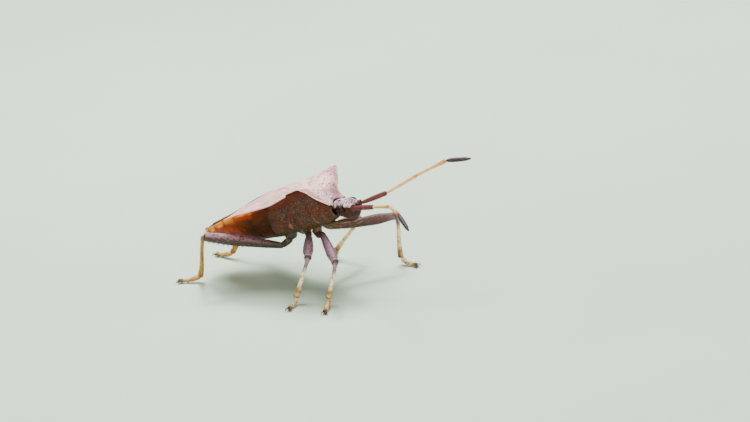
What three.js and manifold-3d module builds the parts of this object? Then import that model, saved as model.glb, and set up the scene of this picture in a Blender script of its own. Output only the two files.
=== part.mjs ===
// A squash bug of the dock bug kind, standing still on its six feet, at its real size.
//
// Millimetres, z up. The trunk is drawn in a frame of its own: x runs from the tip of the abdomen
// towards the head, y to the animal's left and z to its back. That frame is pitched nose up and
// lifted over the floor, and the feet stand on the floor at z = 0. The finished group is moved
// sideways only, so that its origin is under the middle of the whole animal.
import * as THREE from "three";
import { mergeVertices } from "three/addons/utils/BufferGeometryUtils.js";
import Module from "manifold-3d";

const wasm = await Module();
wasm.setup();

// Driving dimensions
const bodyPitch = THREE.MathUtils.degToRad(11.3);
const bodyLift = 3.81;
const gap = 0.2;
const plateThickness = 0.5;

// Stations along the trunk
const headFront = 13.22;
const headBack = 11.78;
const collarFront = 11.8;
const humerusAt = 10.65;
const shoulderBack = 9.12;
const pronotumBack = 8.95;
const scutellumTip = 7.35;
const abdomenFront = 7.1;
const coriumCorner = 5.5;
const coriumTip = 3.3;
const membraneTip = 0.1;
const abdomenTip = -0.22;

// Widths, from the middle line outwards
const collarHalf = 0.87;
const humerusHalf = 2.28;
const shoulderHalf = 1.95;
const scutellumHalf = 0.85;
const headHalf = 0.7;
const abdomenHalf = 2.65;

const vector = (x, y, z) => new THREE.Vector3(x, y, z);
const floorUp = vector(0, 0, 1);

// A smooth curve through a few [station, value] pairs, which never overshoots them.
function curveThrough(...pairs) {
  const slopes = pairs.slice(1).map((pair, i) => (pair[1] - pairs[i][1]) / (pair[0] - pairs[i][0]));
  const tangents = pairs.map((_, i) => {
    if (i === 0) return slopes[0];
    if (i === slopes.length) return slopes[i - 1];
    const [before, after] = [slopes[i - 1], slopes[i]];
    return before * after <= 0 ? 0 : (2 * before * after) / (before + after);
  });
  return (station) => {
    let i = 0;
    while (i < pairs.length - 2 && station > pairs[i + 1][0]) i += 1;
    const span = pairs[i + 1][0] - pairs[i][0];
    const t = THREE.MathUtils.clamp((station - pairs[i][0]) / span, 0, 1);
    const start = pairs[i][1] * (1 + 2 * t) * (1 - t) ** 2 + tangents[i] * span * t * (1 - t) ** 2;
    const end = pairs[i + 1][1] * t * t * (3 - 2 * t) - tangents[i + 1] * span * t * t * (1 - t);
    return start + end;
  };
}

const steps = (count) => Array.from({ length: count + 1 }, (_, i) => i / count);
const spread = (from, to, count) => steps(count).map((t) => from + (to - from) * t);

// Surfaces of the trunk
const backMiddle = curveThrough(
  [-0.3, -0.52], [1.5, -0.16], [3, 0.3], [4.5, 0.86], [6, 1.18], [7.5, 1.42], [9, 1.56], [10, 1.5],
);
const backEdge = curveThrough([-0.3, -0.55], [1.5, -0.2], [3, 0.3], [4.5, 0.6], [6, 0.76], [7.5, 0.95], [9, 1.36]);
const wingHalf = curveThrough(
  [0, 0.3], [0.8, 1.05], [2, 1.75], [3.5, 2.14], [5, 2.22], [6.4, 2.12], [7.6, 2.12], [9, 1.92],
);
const wingThickness = curveThrough([0, 0.16], [1.2, 0.3], [2.6, plateThickness]);

// Height of the wings' upper face: nearly flat, with the sides falling away.
function wingTop(x, y) {
  const share = Math.min(1, Math.abs(y) / wingHalf(x));
  return THREE.MathUtils.lerp(backMiddle(x), backEdge(x), share ** 2.4);
}

const abdomenEdge = curveThrough(
  [abdomenTip, 0.3], [0.3, 1.0], [1, 1.6], [2.2, 2.2], [3.6, 2.55], [4.9, abdomenHalf], [6, 2.52], [7.2, 2.1],
);
const rimHeight = curveThrough(
  [abdomenTip, -0.5], [1, -0.25], [2.1, 0.1], [3.6, 0.5], [4.9, 0.7], [5.8, 0.72], [7.2, 0.38],
);
const belly = curveThrough([abdomenTip, -1.02], [0.8, -1.25], [2.2, -1.5], [4, -1.68], [6, -1.68], [7.4, -1.62]);

const pronotumEdge = curveThrough(
  [pronotumBack, 1.6], [shoulderBack, shoulderHalf], [9.9, 2.13], [humerusAt, humerusHalf],
  [10.76, 2.1], [10.86, 1.9], [11.04, 1.32], [11.25, 1.02], [11.6, 0.88], [collarFront, collarHalf],
);
const pronotumMiddle = curveThrough([pronotumBack, 1.6], [9.8, 1.6], [10.4, 1.32], [11.1, 0.72], [11.5, 0.28], [12, 0.1]);
const pronotumRim = curveThrough(
  [pronotumBack, 1.42], [shoulderBack, 1.47], [9.9, 1.66], [humerusAt, 1.8], [10.76, 1.62],
  [10.86, 1.42], [11.04, 0.7], [11.25, 0.34], [11.6, 0.05], [collarFront, -0.1],
);
const pronotumThickness = (share) => plateThickness * (1 - 0.5 * Math.abs(share) ** 4);

// The front margin of the pronotum is hollowed out in its middle, where the head comes in.
const collarHollow = (station, share) =>
  0.28 * (1 - share ** 2) * THREE.MathUtils.smoothstep(station, 10.6, collarFront);
const pronotumTop = (x, station, share) => THREE.MathUtils.lerp(pronotumMiddle(x), pronotumRim(station), share ** 2);

// Undersides of the back's plates at a place, for what lies below them.
const underWings = (x, y) =>
  wingTop(x, y) - wingThickness(x) * (1 - 0.3 * Math.min(1, Math.abs(y) / wingHalf(x)) ** 4);
function underPronotum(x, y) {
  const across = (station) => Math.min(1, Math.abs(y) / pronotumEdge(station));
  let station = x;
  for (let round = 0; round < 4; round += 1) station = x + collarHollow(station, across(station));
  return pronotumTop(x, station, across(station)) - pronotumThickness(across(station));
}

// Lowers a surface by so much that it keeps one gap from the surface above it, also on slopes.
function clearBelow(surface) {
  const step = 0.02;
  return (x, y) => {
    const fallX = (surface(x + step, y) - surface(x - step, y)) / (2 * step);
    const fallY = (surface(x, y + step) - surface(x, y - step)) / (2 * step);
    return surface(x, y) - gap * Math.hypot(1, fallX, fallY);
  };
}

const flank = curveThrough([7.1, 2.05], [8.6, 1.85], [9.6, 1.8], [10.6, 1.5], [11.2, 0.95], [11.7, 0.8]);
const sternum = curveThrough([7.1, -1.58], [8.5, -1.52], [10, -1.48], [10.8, -1.36], [11.7, -1.02]);

// A closed plate between an upper and a lower face. Each row is a list of [x, y, top, bottom],
// rows run forwards and columns run to the left. Both faces are split into triangles alike.
function plate(rows) {
  const across = rows[0].length;
  const count = rows.length * across;
  const upper = rows.flat().flatMap(([x, y, top]) => [x, y, top]);
  const lower = rows.flat().flatMap(([x, y, , bottom]) => [x, y, bottom]);
  const at = (i, j) => i * across + j;
  const triangles = [];
  const quad = (a, b, c, d) => triangles.push(a, b, c, a, c, d);
  for (let i = 0; i < rows.length - 1; i += 1) {
    for (let j = 0; j < across - 1; j += 1) {
      const corners = [at(i, j), at(i + 1, j), at(i + 1, j + 1), at(i, j + 1)];
      const [a, b, c, d] = corners.map((corner) => corner + count);
      quad(...corners);
      triangles.push(a, c, b, a, d, c);
    }
    quad(at(i, 0), at(i, 0) + count, at(i + 1, 0) + count, at(i + 1, 0));
    const last = across - 1;
    quad(at(i, last), at(i + 1, last), at(i + 1, last) + count, at(i, last) + count);
  }
  const front = rows.length - 1;
  for (let j = 0; j < across - 1; j += 1) {
    quad(at(0, j), at(0, j + 1), at(0, j + 1) + count, at(0, j) + count);
    quad(at(front, j), at(front, j) + count, at(front, j + 1) + count, at(front, j + 1));
  }
  return closed([...upper, ...lower], triangles);
}

// A closed body through rings of points, each ring counted the same way round.
function loft(rings) {
  const around = rings[0].length;
  const centres = [rings[0], rings[rings.length - 1]].map((ring) =>
    ring.reduce((sum, point) => sum.add(point), vector(0, 0, 0)).divideScalar(around),
  );
  const points = [...rings.flat(), ...centres];
  const [backCentre, frontCentre] = [points.length - 2, points.length - 1];
  const triangles = [];
  for (let i = 0; i < rings.length; i += 1) {
    for (let j = 0; j < around; j += 1) {
      const [here, beside] = [i * around + j, i * around + ((j + 1) % around)];
      if (i === 0) triangles.push(here, beside, backCentre);
      if (i === rings.length - 1) triangles.push(beside, here, frontCentre);
      if (i > 0) triangles.push(here - around, here, beside, here - around, beside, beside - around);
    }
  }
  return closed(points.flatMap((point) => point.toArray()), triangles);
}

// A geometry with shared corners, no flattened triangles and all faces pointing out.
function closed(positions, triangles) {
  const raw = new THREE.BufferGeometry();
  raw.setAttribute("position", new THREE.Float32BufferAttribute(positions, 3));
  raw.setIndex(triangles);
  return tidied(raw);
}

function tidied(raw) {
  raw.deleteAttribute("normal");
  raw.deleteAttribute("uv");
  const geometry = mergeVertices(raw, 1e-5);
  const index = Array.from(geometry.index.array);
  const kept = [];
  for (let i = 0; i < index.length; i += 3) {
    const [a, b, c] = index.slice(i, i + 3);
    if (a !== b && b !== c && c !== a) kept.push(a, b, c);
  }
  if (enclosedVolume(geometry.attributes.position, kept) < 0) kept.reverse();
  geometry.setIndex(kept);
  return geometry;
}

function enclosedVolume(position, triangles) {
  const corner = (i) => new THREE.Vector3().fromBufferAttribute(position, i);
  let volume = 0;
  for (let i = 0; i < triangles.length; i += 3) {
    const [a, b, c] = [corner(triangles[i]), corner(triangles[i + 1]), corner(triangles[i + 2])];
    volume += a.dot(b.cross(c)) / 6;
  }
  return volume;
}

// A turned body: the profile is a list of [share of the length, radius], the axis is local y.
function spun(length, profile, sides) {
  const outline = [[profile[0][0], 0], ...profile, [profile[profile.length - 1][0], 0]];
  const points = outline.map(([share, radius]) => new THREE.Vector2(radius, share * length));
  return tidied(new THREE.LatheGeometry(points, sides));
}

// Stands a turned body on a line, bowed sideways by up to bow in the direction of lean.
function limb(from, to, profile, sides, bow = 0, lean = floorUp) {
  const axis = to.clone().sub(from);
  const length = axis.length();
  const geometry = spun(length, profile, sides);
  const along = axis.normalize();
  const side = lean.clone().addScaledVector(along, -lean.dot(along)).normalize();
  const third = new THREE.Vector3().crossVectors(side, along);
  geometry.applyMatrix4(new THREE.Matrix4().makeBasis(side, along, third).setPosition(from));
  if (bow === 0) return geometry;
  const position = geometry.attributes.position;
  for (let i = 0; i < position.count; i += 1) {
    const point = new THREE.Vector3().fromBufferAttribute(position, i);
    const share = THREE.MathUtils.clamp(point.clone().sub(from).dot(along) / length, 0, 1);
    point.addScaledVector(side, bow * Math.sin(Math.PI * share));
    position.setXYZ(i, point.x, point.y, point.z);
  }
  return geometry;
}

const widerBy = (profile, extra) => profile.map(([share, radius]) => [share, radius + extra]);

// Joins and cuts
function toSolid(geometry) {
  return new wasm.Manifold(
    new wasm.Mesh({
      numProp: 3,
      vertProperties: new Float32Array(geometry.attributes.position.array),
      triVerts: new Uint32Array(geometry.index.array),
    }),
  );
}

// Back to a geometry, with only the largest closed surface kept.
function toGeometry(solid) {
  const pieces = solid.decompose();
  pieces.sort((a, b) => b.volume() - a.volume());
  const mesh = pieces[0].getMesh();
  const positions = [];
  for (let i = 0; i < mesh.vertProperties.length; i += mesh.numProp) {
    positions.push(...mesh.vertProperties.slice(i, i + 3));
  }
  return closed(positions, Array.from(mesh.triVerts));
}

const joined = (...geometries) =>
  toGeometry(geometries.map(toSolid).reduce((sum, solid) => sum.add(solid)));

const cut = (geometry, ...cutters) =>
  toGeometry(cutters.map(toSolid).reduce((rest, solid) => rest.subtract(solid), toSolid(geometry)));

// Group and finishes
const animal = new THREE.Group();
const trunk = new THREE.Group();
const footing = new THREE.Group();
animal.add(trunk, footing);
trunk.rotation.y = -bodyPitch;
trunk.position.z = bodyLift;
trunk.updateMatrix();
const overFloor = (point) => point.clone().applyMatrix4(trunk.matrix);

const finish = (color, roughness) => new THREE.MeshStandardMaterial({ color, roughness, metalness: 0 });
const backShell = finish(0xc9a9ad, 0.6);
const sideShell = finish(0x56351f, 0.6);
const bellyShell = finish(0x7d3d14, 0.6);
const membraneSkin = finish(0x8a7468, 0.35);
const headShell = finish(0x6e5148, 0.6);
const eyeLens = finish(0x2b1a16, 0.25);
const antennaRed = finish(0x7e4a48, 0.5);
const antennaPale = finish(0xd9a070, 0.5);
const antennaDark = finish(0x473d4a, 0.6);
const thighShell = finish(0x9b7f8a, 0.55);
const hindThighShell = finish(0x6b4344, 0.55);
const shinShell = finish(0xcdb46c, 0.5);
const footShell = finish(0xb99a66, 0.55);

function add(group, name, geometry, material) {
  geometry.computeVertexNormals();
  const mesh = new THREE.Mesh(geometry, material);
  mesh.name = name;
  group.add(mesh);
  return mesh;
}

const sides = [["left", 1], ["right", -1]];
const mirrored = (point, hand) => vector(point.x, point.y * hand, point.z);

// Abdomen: a keel-shaped belly, a tray on the back in which the wings lie, and an upturned rim
// that is slightly notched where its segments meet.
const segmentCount = 6;
const segmentNotch = 0.05;
const rimThickness = 0.26;
const leastThickness = 0.14;
const trayWall = 0.03;
function abdomen() {
  const rowsPerSegment = 4;
  const stations = spread(abdomenTip, abdomenFront, segmentCount * rowsPerSegment);
  const trayFloor = clearBelow(underWings);
  const rows = stations.map((x, row) => {
    const notch = row % rowsPerSegment === 0 ? segmentNotch : 0;
    const edge = abdomenEdge(x) - notch;
    const trayEdge = Math.min(wingHalf(x) + gap + leastThickness, edge - leastThickness);
    const rimTop = rimHeight(x);
    const rimBottom = rimTop - rimThickness;
    const under = (y) => {
      const share = Math.min(1, Math.abs(y) / edge);
      return THREE.MathUtils.lerp(rimBottom, belly(x), (1 - share ** 2.1) ** 0.75);
    };
    const column = (y, top) => [x, y, Math.max(top, under(y) + leastThickness), under(y)];
    const outer = [-edge, -(edge + trayEdge) / 2, -trayEdge];
    const middle = [-1, -0.75, -0.4, 0, 0.4, 0.75, 1].map((share) => share * (trayEdge - trayWall));
    const rim = (y) => {
      const top = rimTop - 0.12 * (edge - Math.abs(y));
      return column(y, Math.abs(y) < wingHalf(x) + gap ? Math.min(top, trayFloor(x, y)) : top);
    };
    return [
      ...outer.map(rim),
      ...middle.map((y) => column(y, Math.min(trayFloor(x, y), rimTop - 0.15))),
      ...outer.map((y) => rim(-y)).reverse(),
    ];
  });
  return plate(rows);
}
add(trunk, "abdomen", abdomen(), bellyShell);

// Forewings: a leathery corium each, with two raised veins, and the clear membrane behind them.
const veinHeight = 0.08;
const coriumHind = (x) => THREE.MathUtils.mapLinear(x, coriumTip, coriumCorner, 1.92, gap / 2);
const scutellumSide = (x) => THREE.MathUtils.mapLinear(x, scutellumTip, pronotumBack - gap, 0.06, scutellumHalf);
const coriumInner = (x) => Math.max(gap / 2, coriumHind(x), scutellumSide(x) + gap * 1.15);
function corium(hand) {
  const shares = [0, 0.2, 0.33, 0.42, 0.51, 0.68, 0.76, 0.84, 1];
  const veinColumns = [3, 6];
  const rows = spread(coriumTip, pronotumBack - gap, 15).map((x) => {
    const inner = coriumInner(x);
    const columns = shares.map((share, j) => {
      const y = THREE.MathUtils.lerp(inner, wingHalf(x), share);
      const vein = veinColumns.includes(j) ? veinHeight : 0;
      return [x, y * hand, wingTop(x, y) + vein, underWings(x, y)];
    });
    return hand > 0 ? columns : columns.reverse();
  });
  return plate(rows);
}
for (const [side, hand] of sides) add(trunk, `forewing_${side}`, corium(hand), backShell);

// The membrane: its veins fan back from the corium as ridges in its own surface.
const membraneVeins = 9;
const membraneStep = 0.06;
function membrane() {
  const rows = spread(membraneTip, coriumCorner - 0.45, 13).map((x) => {
    const half = Math.min(wingHalf(x), coriumHind(x) - gap * 1.35);
    return spread(-1, 1, membraneVeins * 2).map((share, j) => {
      const y = share * half;
      const vein = j % 2 === 1 ? veinHeight : 0;
      const top = wingTop(x, y) - membraneStep;
      return [x, y, top + vein, underWings(x, y)];
    });
  });
  return plate(rows);
}
add(trunk, "wing_membrane", membrane(), membraneSkin);

// Scutellum: the triangle between the wings' bases.
function scutellum() {
  const rows = spread(scutellumTip, pronotumBack - gap, 6).map((x) =>
    spread(-1, 1, 6).map((share) => {
      const y = share * scutellumSide(x);
      const top = wingTop(x, y) + 0.05 * (1 - share * share);
      return [x, y, top, top - plateThickness];
    }),
  );
  return plate(rows);
}
add(trunk, "scutellum", scutellum(), backShell);

// Pronotum: falls steeply to the collar, with the hind corners drawn up and out into shoulders.
function pronotum() {
  const stations = [
    ...spread(pronotumBack, 10.2, 6), 10.45, humerusAt, 10.76, 10.86, 10.95, 11.05, 11.25, 11.5, collarFront,
  ];
  const shares = [-1, -0.9, -0.76, -0.58, -0.38, -0.18, 0, 0.18, 0.38, 0.58, 0.76, 0.9, 1];
  return plate(
    stations.map((station) =>
      shares.map((share) => {
        const y = share * pronotumEdge(station);
        const x = station - collarHollow(station, share);
        const top = pronotumTop(x, station, share);
        return [x, y, top, top - pronotumThickness(share)];
      }),
    ),
  );
}
add(trunk, "pronotum", pronotum(), backShell);

// Coxae: each leg's first joint, with the trochanter below it, sits in a socket of the thorax.
const coxaProfile = [[0, 0.2], [0.12, 0.3], [0.5, 0.34], [0.85, 0.27], [1, 0.16]];
const trochanterProfile = [[0, 0.18], [0.25, 0.27], [0.75, 0.26], [1, 0.15]];
const hips = {
  front: { root: vector(10.15, 0.62, -1.1), bend: vector(10.25, 0.75, -1.62), out: vector(10.45, 1.12, -1.78) },
  mid: { root: vector(8.9, 0.68, -1.1), bend: vector(9.05, 0.85, -1.62), out: vector(9.32, 1.2, -1.76) },
  hind: { root: vector(7.8, 0.72, -1.1), bend: vector(7.4, 0.88, -1.85), out: vector(6.8, 1.22, -2.2) },
};
const coxaClearances = {};
function coxa(hip, hand, extra) {
  const [root, bend, out] = [hip.root, hip.bend, hip.out].map((point) => mirrored(point, hand));
  const rootEnd = root.clone().add(root.clone().sub(bend).setLength(extra));
  const outEnd = out.clone().add(out.clone().sub(bend).setLength(extra));
  const first = limb(rootEnd, bend.clone().lerp(root, -0.15), widerBy(coxaProfile, extra), 10);
  const second = limb(bend.clone().lerp(out, -0.35), outEnd, widerBy(trochanterProfile, extra), 8);
  return joined(first, second);
}
for (const [pair, hip] of Object.entries(hips)) {
  for (const [side, hand] of sides) {
    coxaClearances[`${pair}_${side}`] = coxa(hip, hand, gap);
    add(trunk, `coxa_${pair}_${side}`, coxa(hip, hand, 0), sideShell);
  }
}

// Thorax below the plates of the back, in its three rings.
const ringJoints = [8.1, 9.35];
const prothoraxFront = 11.5;
function thoraxRing(from, to, cover) {
  const shares = [-1, -0.94, -0.8, -0.6, -0.35, 0, 0.35, 0.6, 0.8, 0.94, 1];
  const rows = spread(from, to, 5).map((x) =>
    shares.map((share) => {
      const y = share * flank(x);
      const top = cover(x, y);
      const shoulder = top - 0.35;
      const under = THREE.MathUtils.lerp(shoulder, sternum(x), (1 - Math.abs(share) ** 2.6) ** 0.62);
      return [x, y, top, under];
    }),
  );
  return cut(plate(rows), ...Object.values(coxaClearances));
}
const clearOfWings = clearBelow(underWings);
const clearOfPronotum = clearBelow(underPronotum);
const clearOfBoth = (x, y) => Math.min(clearOfWings(x, y), clearOfPronotum(x, y));
add(trunk, "metathorax", thoraxRing(abdomenFront + gap, ringJoints[0], clearOfWings), sideShell);
add(trunk, "mesothorax", thoraxRing(ringJoints[0] + gap, ringJoints[1], clearOfBoth), sideShell);
add(trunk, "prothorax", thoraxRing(ringJoints[1] + gap, prothoraxFront, clearOfPronotum), sideShell);

// Head: a short box that drops steeply in front, with a stout knob under each antenna.
const eyeCentre = vector(12.25, 0.75, -0.42);
const eyeRadii = vector(0.3, 0.27, 0.3);
const knobRoot = vector(12.9, 0.38, -0.46);
const knobEnd = vector(13.26, 0.47, -0.49);
const headProfile = [
  [headBack, 0.48, 0.04, -0.95],
  [11.95, 0.64, 0.12, -1.08],
  [12.25, headHalf, 0.11, -1.16],
  [12.6, headHalf, 0.04, -1.28],
  [12.85, 0.62, -0.06, -1.3],
  [13.02, 0.48, -0.2, -1.22],
  [13.14, 0.36, -0.34, -1.1],
  [headFront, 0.22, -0.46, -0.95],
];
const headLoft = (extra) =>
  loft(
    headProfile.map(([x, half, top, bottom]) =>
      steps(18).slice(0, 18).map((turn) => {
        const angle = turn * 2 * Math.PI;
        const squared = (value) => Math.sign(value) * Math.abs(value) ** 0.8;
        const height = (top - bottom) / 2 + extra;
        const middle = (top + bottom) / 2;
        return vector(x, (half + extra) * squared(Math.cos(angle)), middle + height * squared(Math.sin(angle)));
      }),
    ),
  );
const eyeBall = (hand, extra) => {
  const ball = tidied(new THREE.SphereGeometry(1, 14, 10));
  ball.scale(eyeRadii.x + extra, eyeRadii.y + extra, eyeRadii.z + extra);
  return ball.translate(eyeCentre.x, eyeCentre.y * hand, eyeCentre.z);
};
function head() {
  const knobs = sides.map(([, hand]) =>
    limb(mirrored(knobRoot, hand), mirrored(knobEnd, hand), [[0, 0.26], [0.7, 0.26], [1, 0.2]], 10),
  );
  const ocelli = sides.map(([, hand]) =>
    limb(vector(12.1, 0.28 * hand, 0), vector(12.1, 0.3 * hand, 0.17), [[0, 0.09], [0.7, 0.09], [1, 0.05]], 8),
  );
  const whole = joined(headLoft(0), ...knobs, ...ocelli);
  return cut(whole, eyeBall(1, gap * 0.6), eyeBall(-1, gap * 0.6));
}
add(trunk, "head", head(), headShell);
for (const [side, hand] of sides) add(trunk, `eye_${side}`, eyeBall(hand, 0), eyeLens);

// Beak: folded back from the front of the head, clear of its underside.
const beakRadius = 0.25;
const beakPath = new THREE.CatmullRomCurve3([
  vector(12.95, 0, -1.55), vector(12.5, 0, -1.6), vector(11.8, 0, -1.64), vector(10.98, 0, -1.74),
]);
function beak() {
  const outline = new THREE.Shape();
  outline.absarc(0, 0, beakRadius, 0, 2 * Math.PI);
  const options = { steps: 10, curveSegments: 4, extrudePath: beakPath, bevelEnabled: false };
  return cut(tidied(new THREE.ExtrudeGeometry(outline, options)), headLoft(gap));
}
add(trunk, "rostrum", beak(), headShell);

// Antennae: four segments each, posed by the heading to the animal's left and the rise of each.
const antennaGap = 0.26;
const antennaLengths = [1.9, 2.45, 2.2, 1.7];
const antennaProfiles = [
  [[0, 0.17], [0.06, 0.25], [0.55, 0.27], [0.93, 0.27], [1, 0.18]],
  [[0, 0.18], [0.04, 0.25], [0.95, 0.25], [1, 0.2]],
  [[0, 0.2], [0.04, 0.25], [0.93, 0.26], [1, 0.2]],
  [[0, 0.18], [0.12, 0.25], [0.5, 0.28], [0.8, 0.22], [1, 0.08]],
];
const antennaFinishes = [antennaRed, antennaPale, antennaPale, antennaDark];
const antennaPoses = {
  left: [[23.2, 6.9], [26.5, 14.5], [24.7, 11.3], [22.6, -10.1]],
  right: [[-8.3, -0.8], [-24.5, 4.4], [-39.8, -4.1], [-37.7, -33.1]],
};
for (const [side, hand] of sides) {
  let at = mirrored(knobEnd, hand);
  antennaPoses[side].forEach(([heading, rise], i) => {
    const [turn, climb] = [heading, rise].map(THREE.MathUtils.degToRad);
    const along = vector(Math.cos(climb) * Math.cos(turn), Math.cos(climb) * Math.sin(turn), Math.sin(climb));
    const from = at.clone().addScaledVector(along, antennaGap);
    const to = at.clone().addScaledVector(along, antennaLengths[i]);
    add(trunk, `antenna_${side}_${i + 1}`, limb(from, to, antennaProfiles[i], 8), antennaFinishes[i]);
    at = to;
  });
}

// Legs below the hips: knee, ankle and toe as they stand over the floor.
const legs = {
  front_right: { knee: vector(13.31, -3.65, 3.3), ankle: vector(12.03, -3.41, 0.57), toe: vector(12.66, -4.97, 0) },
  front_left: { knee: vector(13.2, 3.84, 3.65), ankle: vector(12.9, 3.91, 0.52), toe: vector(14.51, 3.66, 0) },
  mid_right: { knee: vector(10.91, -3.47, 3.33), ankle: vector(9.56, -3.72, 0.51), toe: vector(9.76, -5.11, 0) },
  mid_left: { knee: vector(9.59, 3.8, 2.61), ankle: vector(7.5, 3.56, 0.45), toe: vector(6.8, 4.8, 0) },
  hind_right: { knee: vector(2.23, -3.46, 4.11), ankle: vector(0.23, -2.18, 0.45), toe: vector(-1.48, -2.81, 0) },
  hind_left: { knee: vector(2.15, 3.02, 3.92), ankle: vector(-0.08, 1.89, 0.45), toe: vector(-1.85, 2.02, 0) },
};
const thighProfile = [[0, 0.18], [0.05, 0.25], [0.35, 0.29], [0.7, 0.34], [0.88, 0.3], [0.96, 0.28], [1, 0.2]];
const hindThighProfile = [[0, 0.18], [0.06, 0.25], [0.3, 0.29], [0.62, 0.36], [0.85, 0.32], [0.96, 0.28], [1, 0.2]];
const shinProfile = [[0, 0.2], [0.04, 0.25], [0.5, 0.25], [0.9, 0.26], [0.97, 0.26], [1, 0.2]];

const floorCutter = tidied(new THREE.BoxGeometry(60, 60, 2).translate(5, 0, -1));
const clawReach = 0.34;
const clawSpread = 0.22;
function foot(ankle, toe, clearance) {
  const along = toe.clone().sub(ankle);
  const joint = (share, height) => {
    const point = ankle.clone().addScaledVector(along, share);
    return vector(point.x, point.y, height);
  };
  const [heel, first, second] = [joint(0.04, 0.4), joint(0.5, 0.2), joint(0.66, 0.19)];
  const ahead = vector(along.x, along.y, 0).normalize();
  const aside = vector(-ahead.y, ahead.x, 0);
  const last = joint(1, 0.19).addScaledVector(ahead, -clawReach);
  const segments = [
    limb(heel, first, [[0, 0.2], [0.2, 0.25], [0.85, 0.27], [1, 0.18]], 8),
    limb(first.clone().addScaledVector(ahead, -0.12), second, [[0, 0.18], [0.5, 0.25], [1, 0.18]], 8),
    limb(second.clone().addScaledVector(ahead, -0.1), last, [[0, 0.17], [0.6, 0.25], [1, 0.2]], 8),
  ];
  const claws = [1, -1].map((hand) => {
    const root = last.clone().addScaledVector(ahead, -0.08).addScaledVector(aside, 0.08 * hand);
    const tip = last.clone().addScaledVector(ahead, clawReach).addScaledVector(aside, clawSpread * hand);
    tip.z = 0.06;
    return limb(root, tip, [[0, 0.1], [0.5, 0.08], [1, 0.03]], 6, 0.07);
  });
  return cut(joined(...segments, ...claws), floorCutter, clearance);
}

const nearer = (from, to, distance) => from.clone().add(to.clone().sub(from).setLength(distance));
for (const [name, { knee, ankle, toe }] of Object.entries(legs)) {
  const [pair, side] = name.split("_");
  const isHind = pair === "hind";
  const profile = isHind ? hindThighProfile : thighProfile;
  const hip = overFloor(mirrored(hips[pair].out, side === "left" ? 1 : -1));
  const hipClearance = coxaClearances[name].clone().applyMatrix4(trunk.matrix);
  const thigh = cut(limb(hip, knee, profile, 10), hipClearance);
  const thighClearance = limb(hip, nearer(knee, hip, -gap), widerBy(profile, gap), 10);
  const shin = cut(limb(nearer(knee, ankle, gap), ankle, shinProfile, 8), thighClearance);
  const shinClearance = limb(knee, nearer(ankle, knee, -gap), widerBy(shinProfile, gap), 8);
  add(footing, `femur_${name}`, thigh, isHind ? hindThighShell : thighShell);
  add(footing, `tibia_${name}`, shin, shinShell);
  add(footing, `tarsus_${name}`, foot(ankle, toe, shinClearance), footShell);
}

animal.updateMatrixWorld(true);
const reach = new THREE.Box3().setFromObject(animal, true);
const middle = reach.getCenter(vector(0, 0, 0));
animal.position.set(-middle.x, -middle.y, 0);

export default animal;
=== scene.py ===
import math

import bpy
import numpy as np
from mathutils import Matrix, Vector
from mathutils.kdtree import KDTree


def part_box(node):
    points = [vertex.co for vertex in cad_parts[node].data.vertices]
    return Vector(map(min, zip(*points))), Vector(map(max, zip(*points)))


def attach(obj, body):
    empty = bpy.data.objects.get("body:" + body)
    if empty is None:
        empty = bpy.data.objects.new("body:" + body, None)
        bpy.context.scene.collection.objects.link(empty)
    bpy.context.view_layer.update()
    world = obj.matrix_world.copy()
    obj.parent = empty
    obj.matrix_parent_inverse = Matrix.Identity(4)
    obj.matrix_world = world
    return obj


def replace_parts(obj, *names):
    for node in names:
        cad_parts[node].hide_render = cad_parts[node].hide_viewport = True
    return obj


# Looks of the squash bug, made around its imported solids. Shapes are worked out in millimetres in
# the trunk's own frame: x runs from the tail to the head, y to the animal's left, z to its back.
# over_floor() pitches and lifts that frame as it stands over the floor.

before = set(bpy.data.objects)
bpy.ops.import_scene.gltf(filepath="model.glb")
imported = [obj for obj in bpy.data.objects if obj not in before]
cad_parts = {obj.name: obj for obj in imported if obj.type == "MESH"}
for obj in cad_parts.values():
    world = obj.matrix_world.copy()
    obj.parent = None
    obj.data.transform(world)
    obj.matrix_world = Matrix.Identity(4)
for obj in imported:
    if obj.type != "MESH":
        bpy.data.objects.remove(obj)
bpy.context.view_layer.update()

MM = 0.001
BODY_PITCH = math.radians(11.3)
BODY_LIFT = 3.81
BODY_MIDDLE = 4
HAND = {"left": 1, "right": -1}

# Stations along the trunk
COLLAR_FRONT = 11.8
HORNS = 10.65
PRONOTUM_BACK = 8.95
SCUTELLUM_TIP = 7.35
CORIUM_CORNER = 5.5
CORIUM_TIP = 3.3
ABDOMEN_TIP = -0.22
RING_JOINTS = np.linspace(0.25, 5.65, 6)
HEAD_BACK, HEAD_FRONT = 11.45, 13.22

# Eyes: their place in the solids, the place and radii of their domes, and the simple eyes
EYE_PLACE = np.array([12.25, 0.75, -0.42])
EYE_MIDDLE = np.array([12.3, 0.74, -0.4])
EYE_RADII = np.array([0.34, 0.27, 0.33])
OCELLUS_PLACE = (12.1, 0.28, 0.09)
OCELLUS_RADIUS = 0.085

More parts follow.
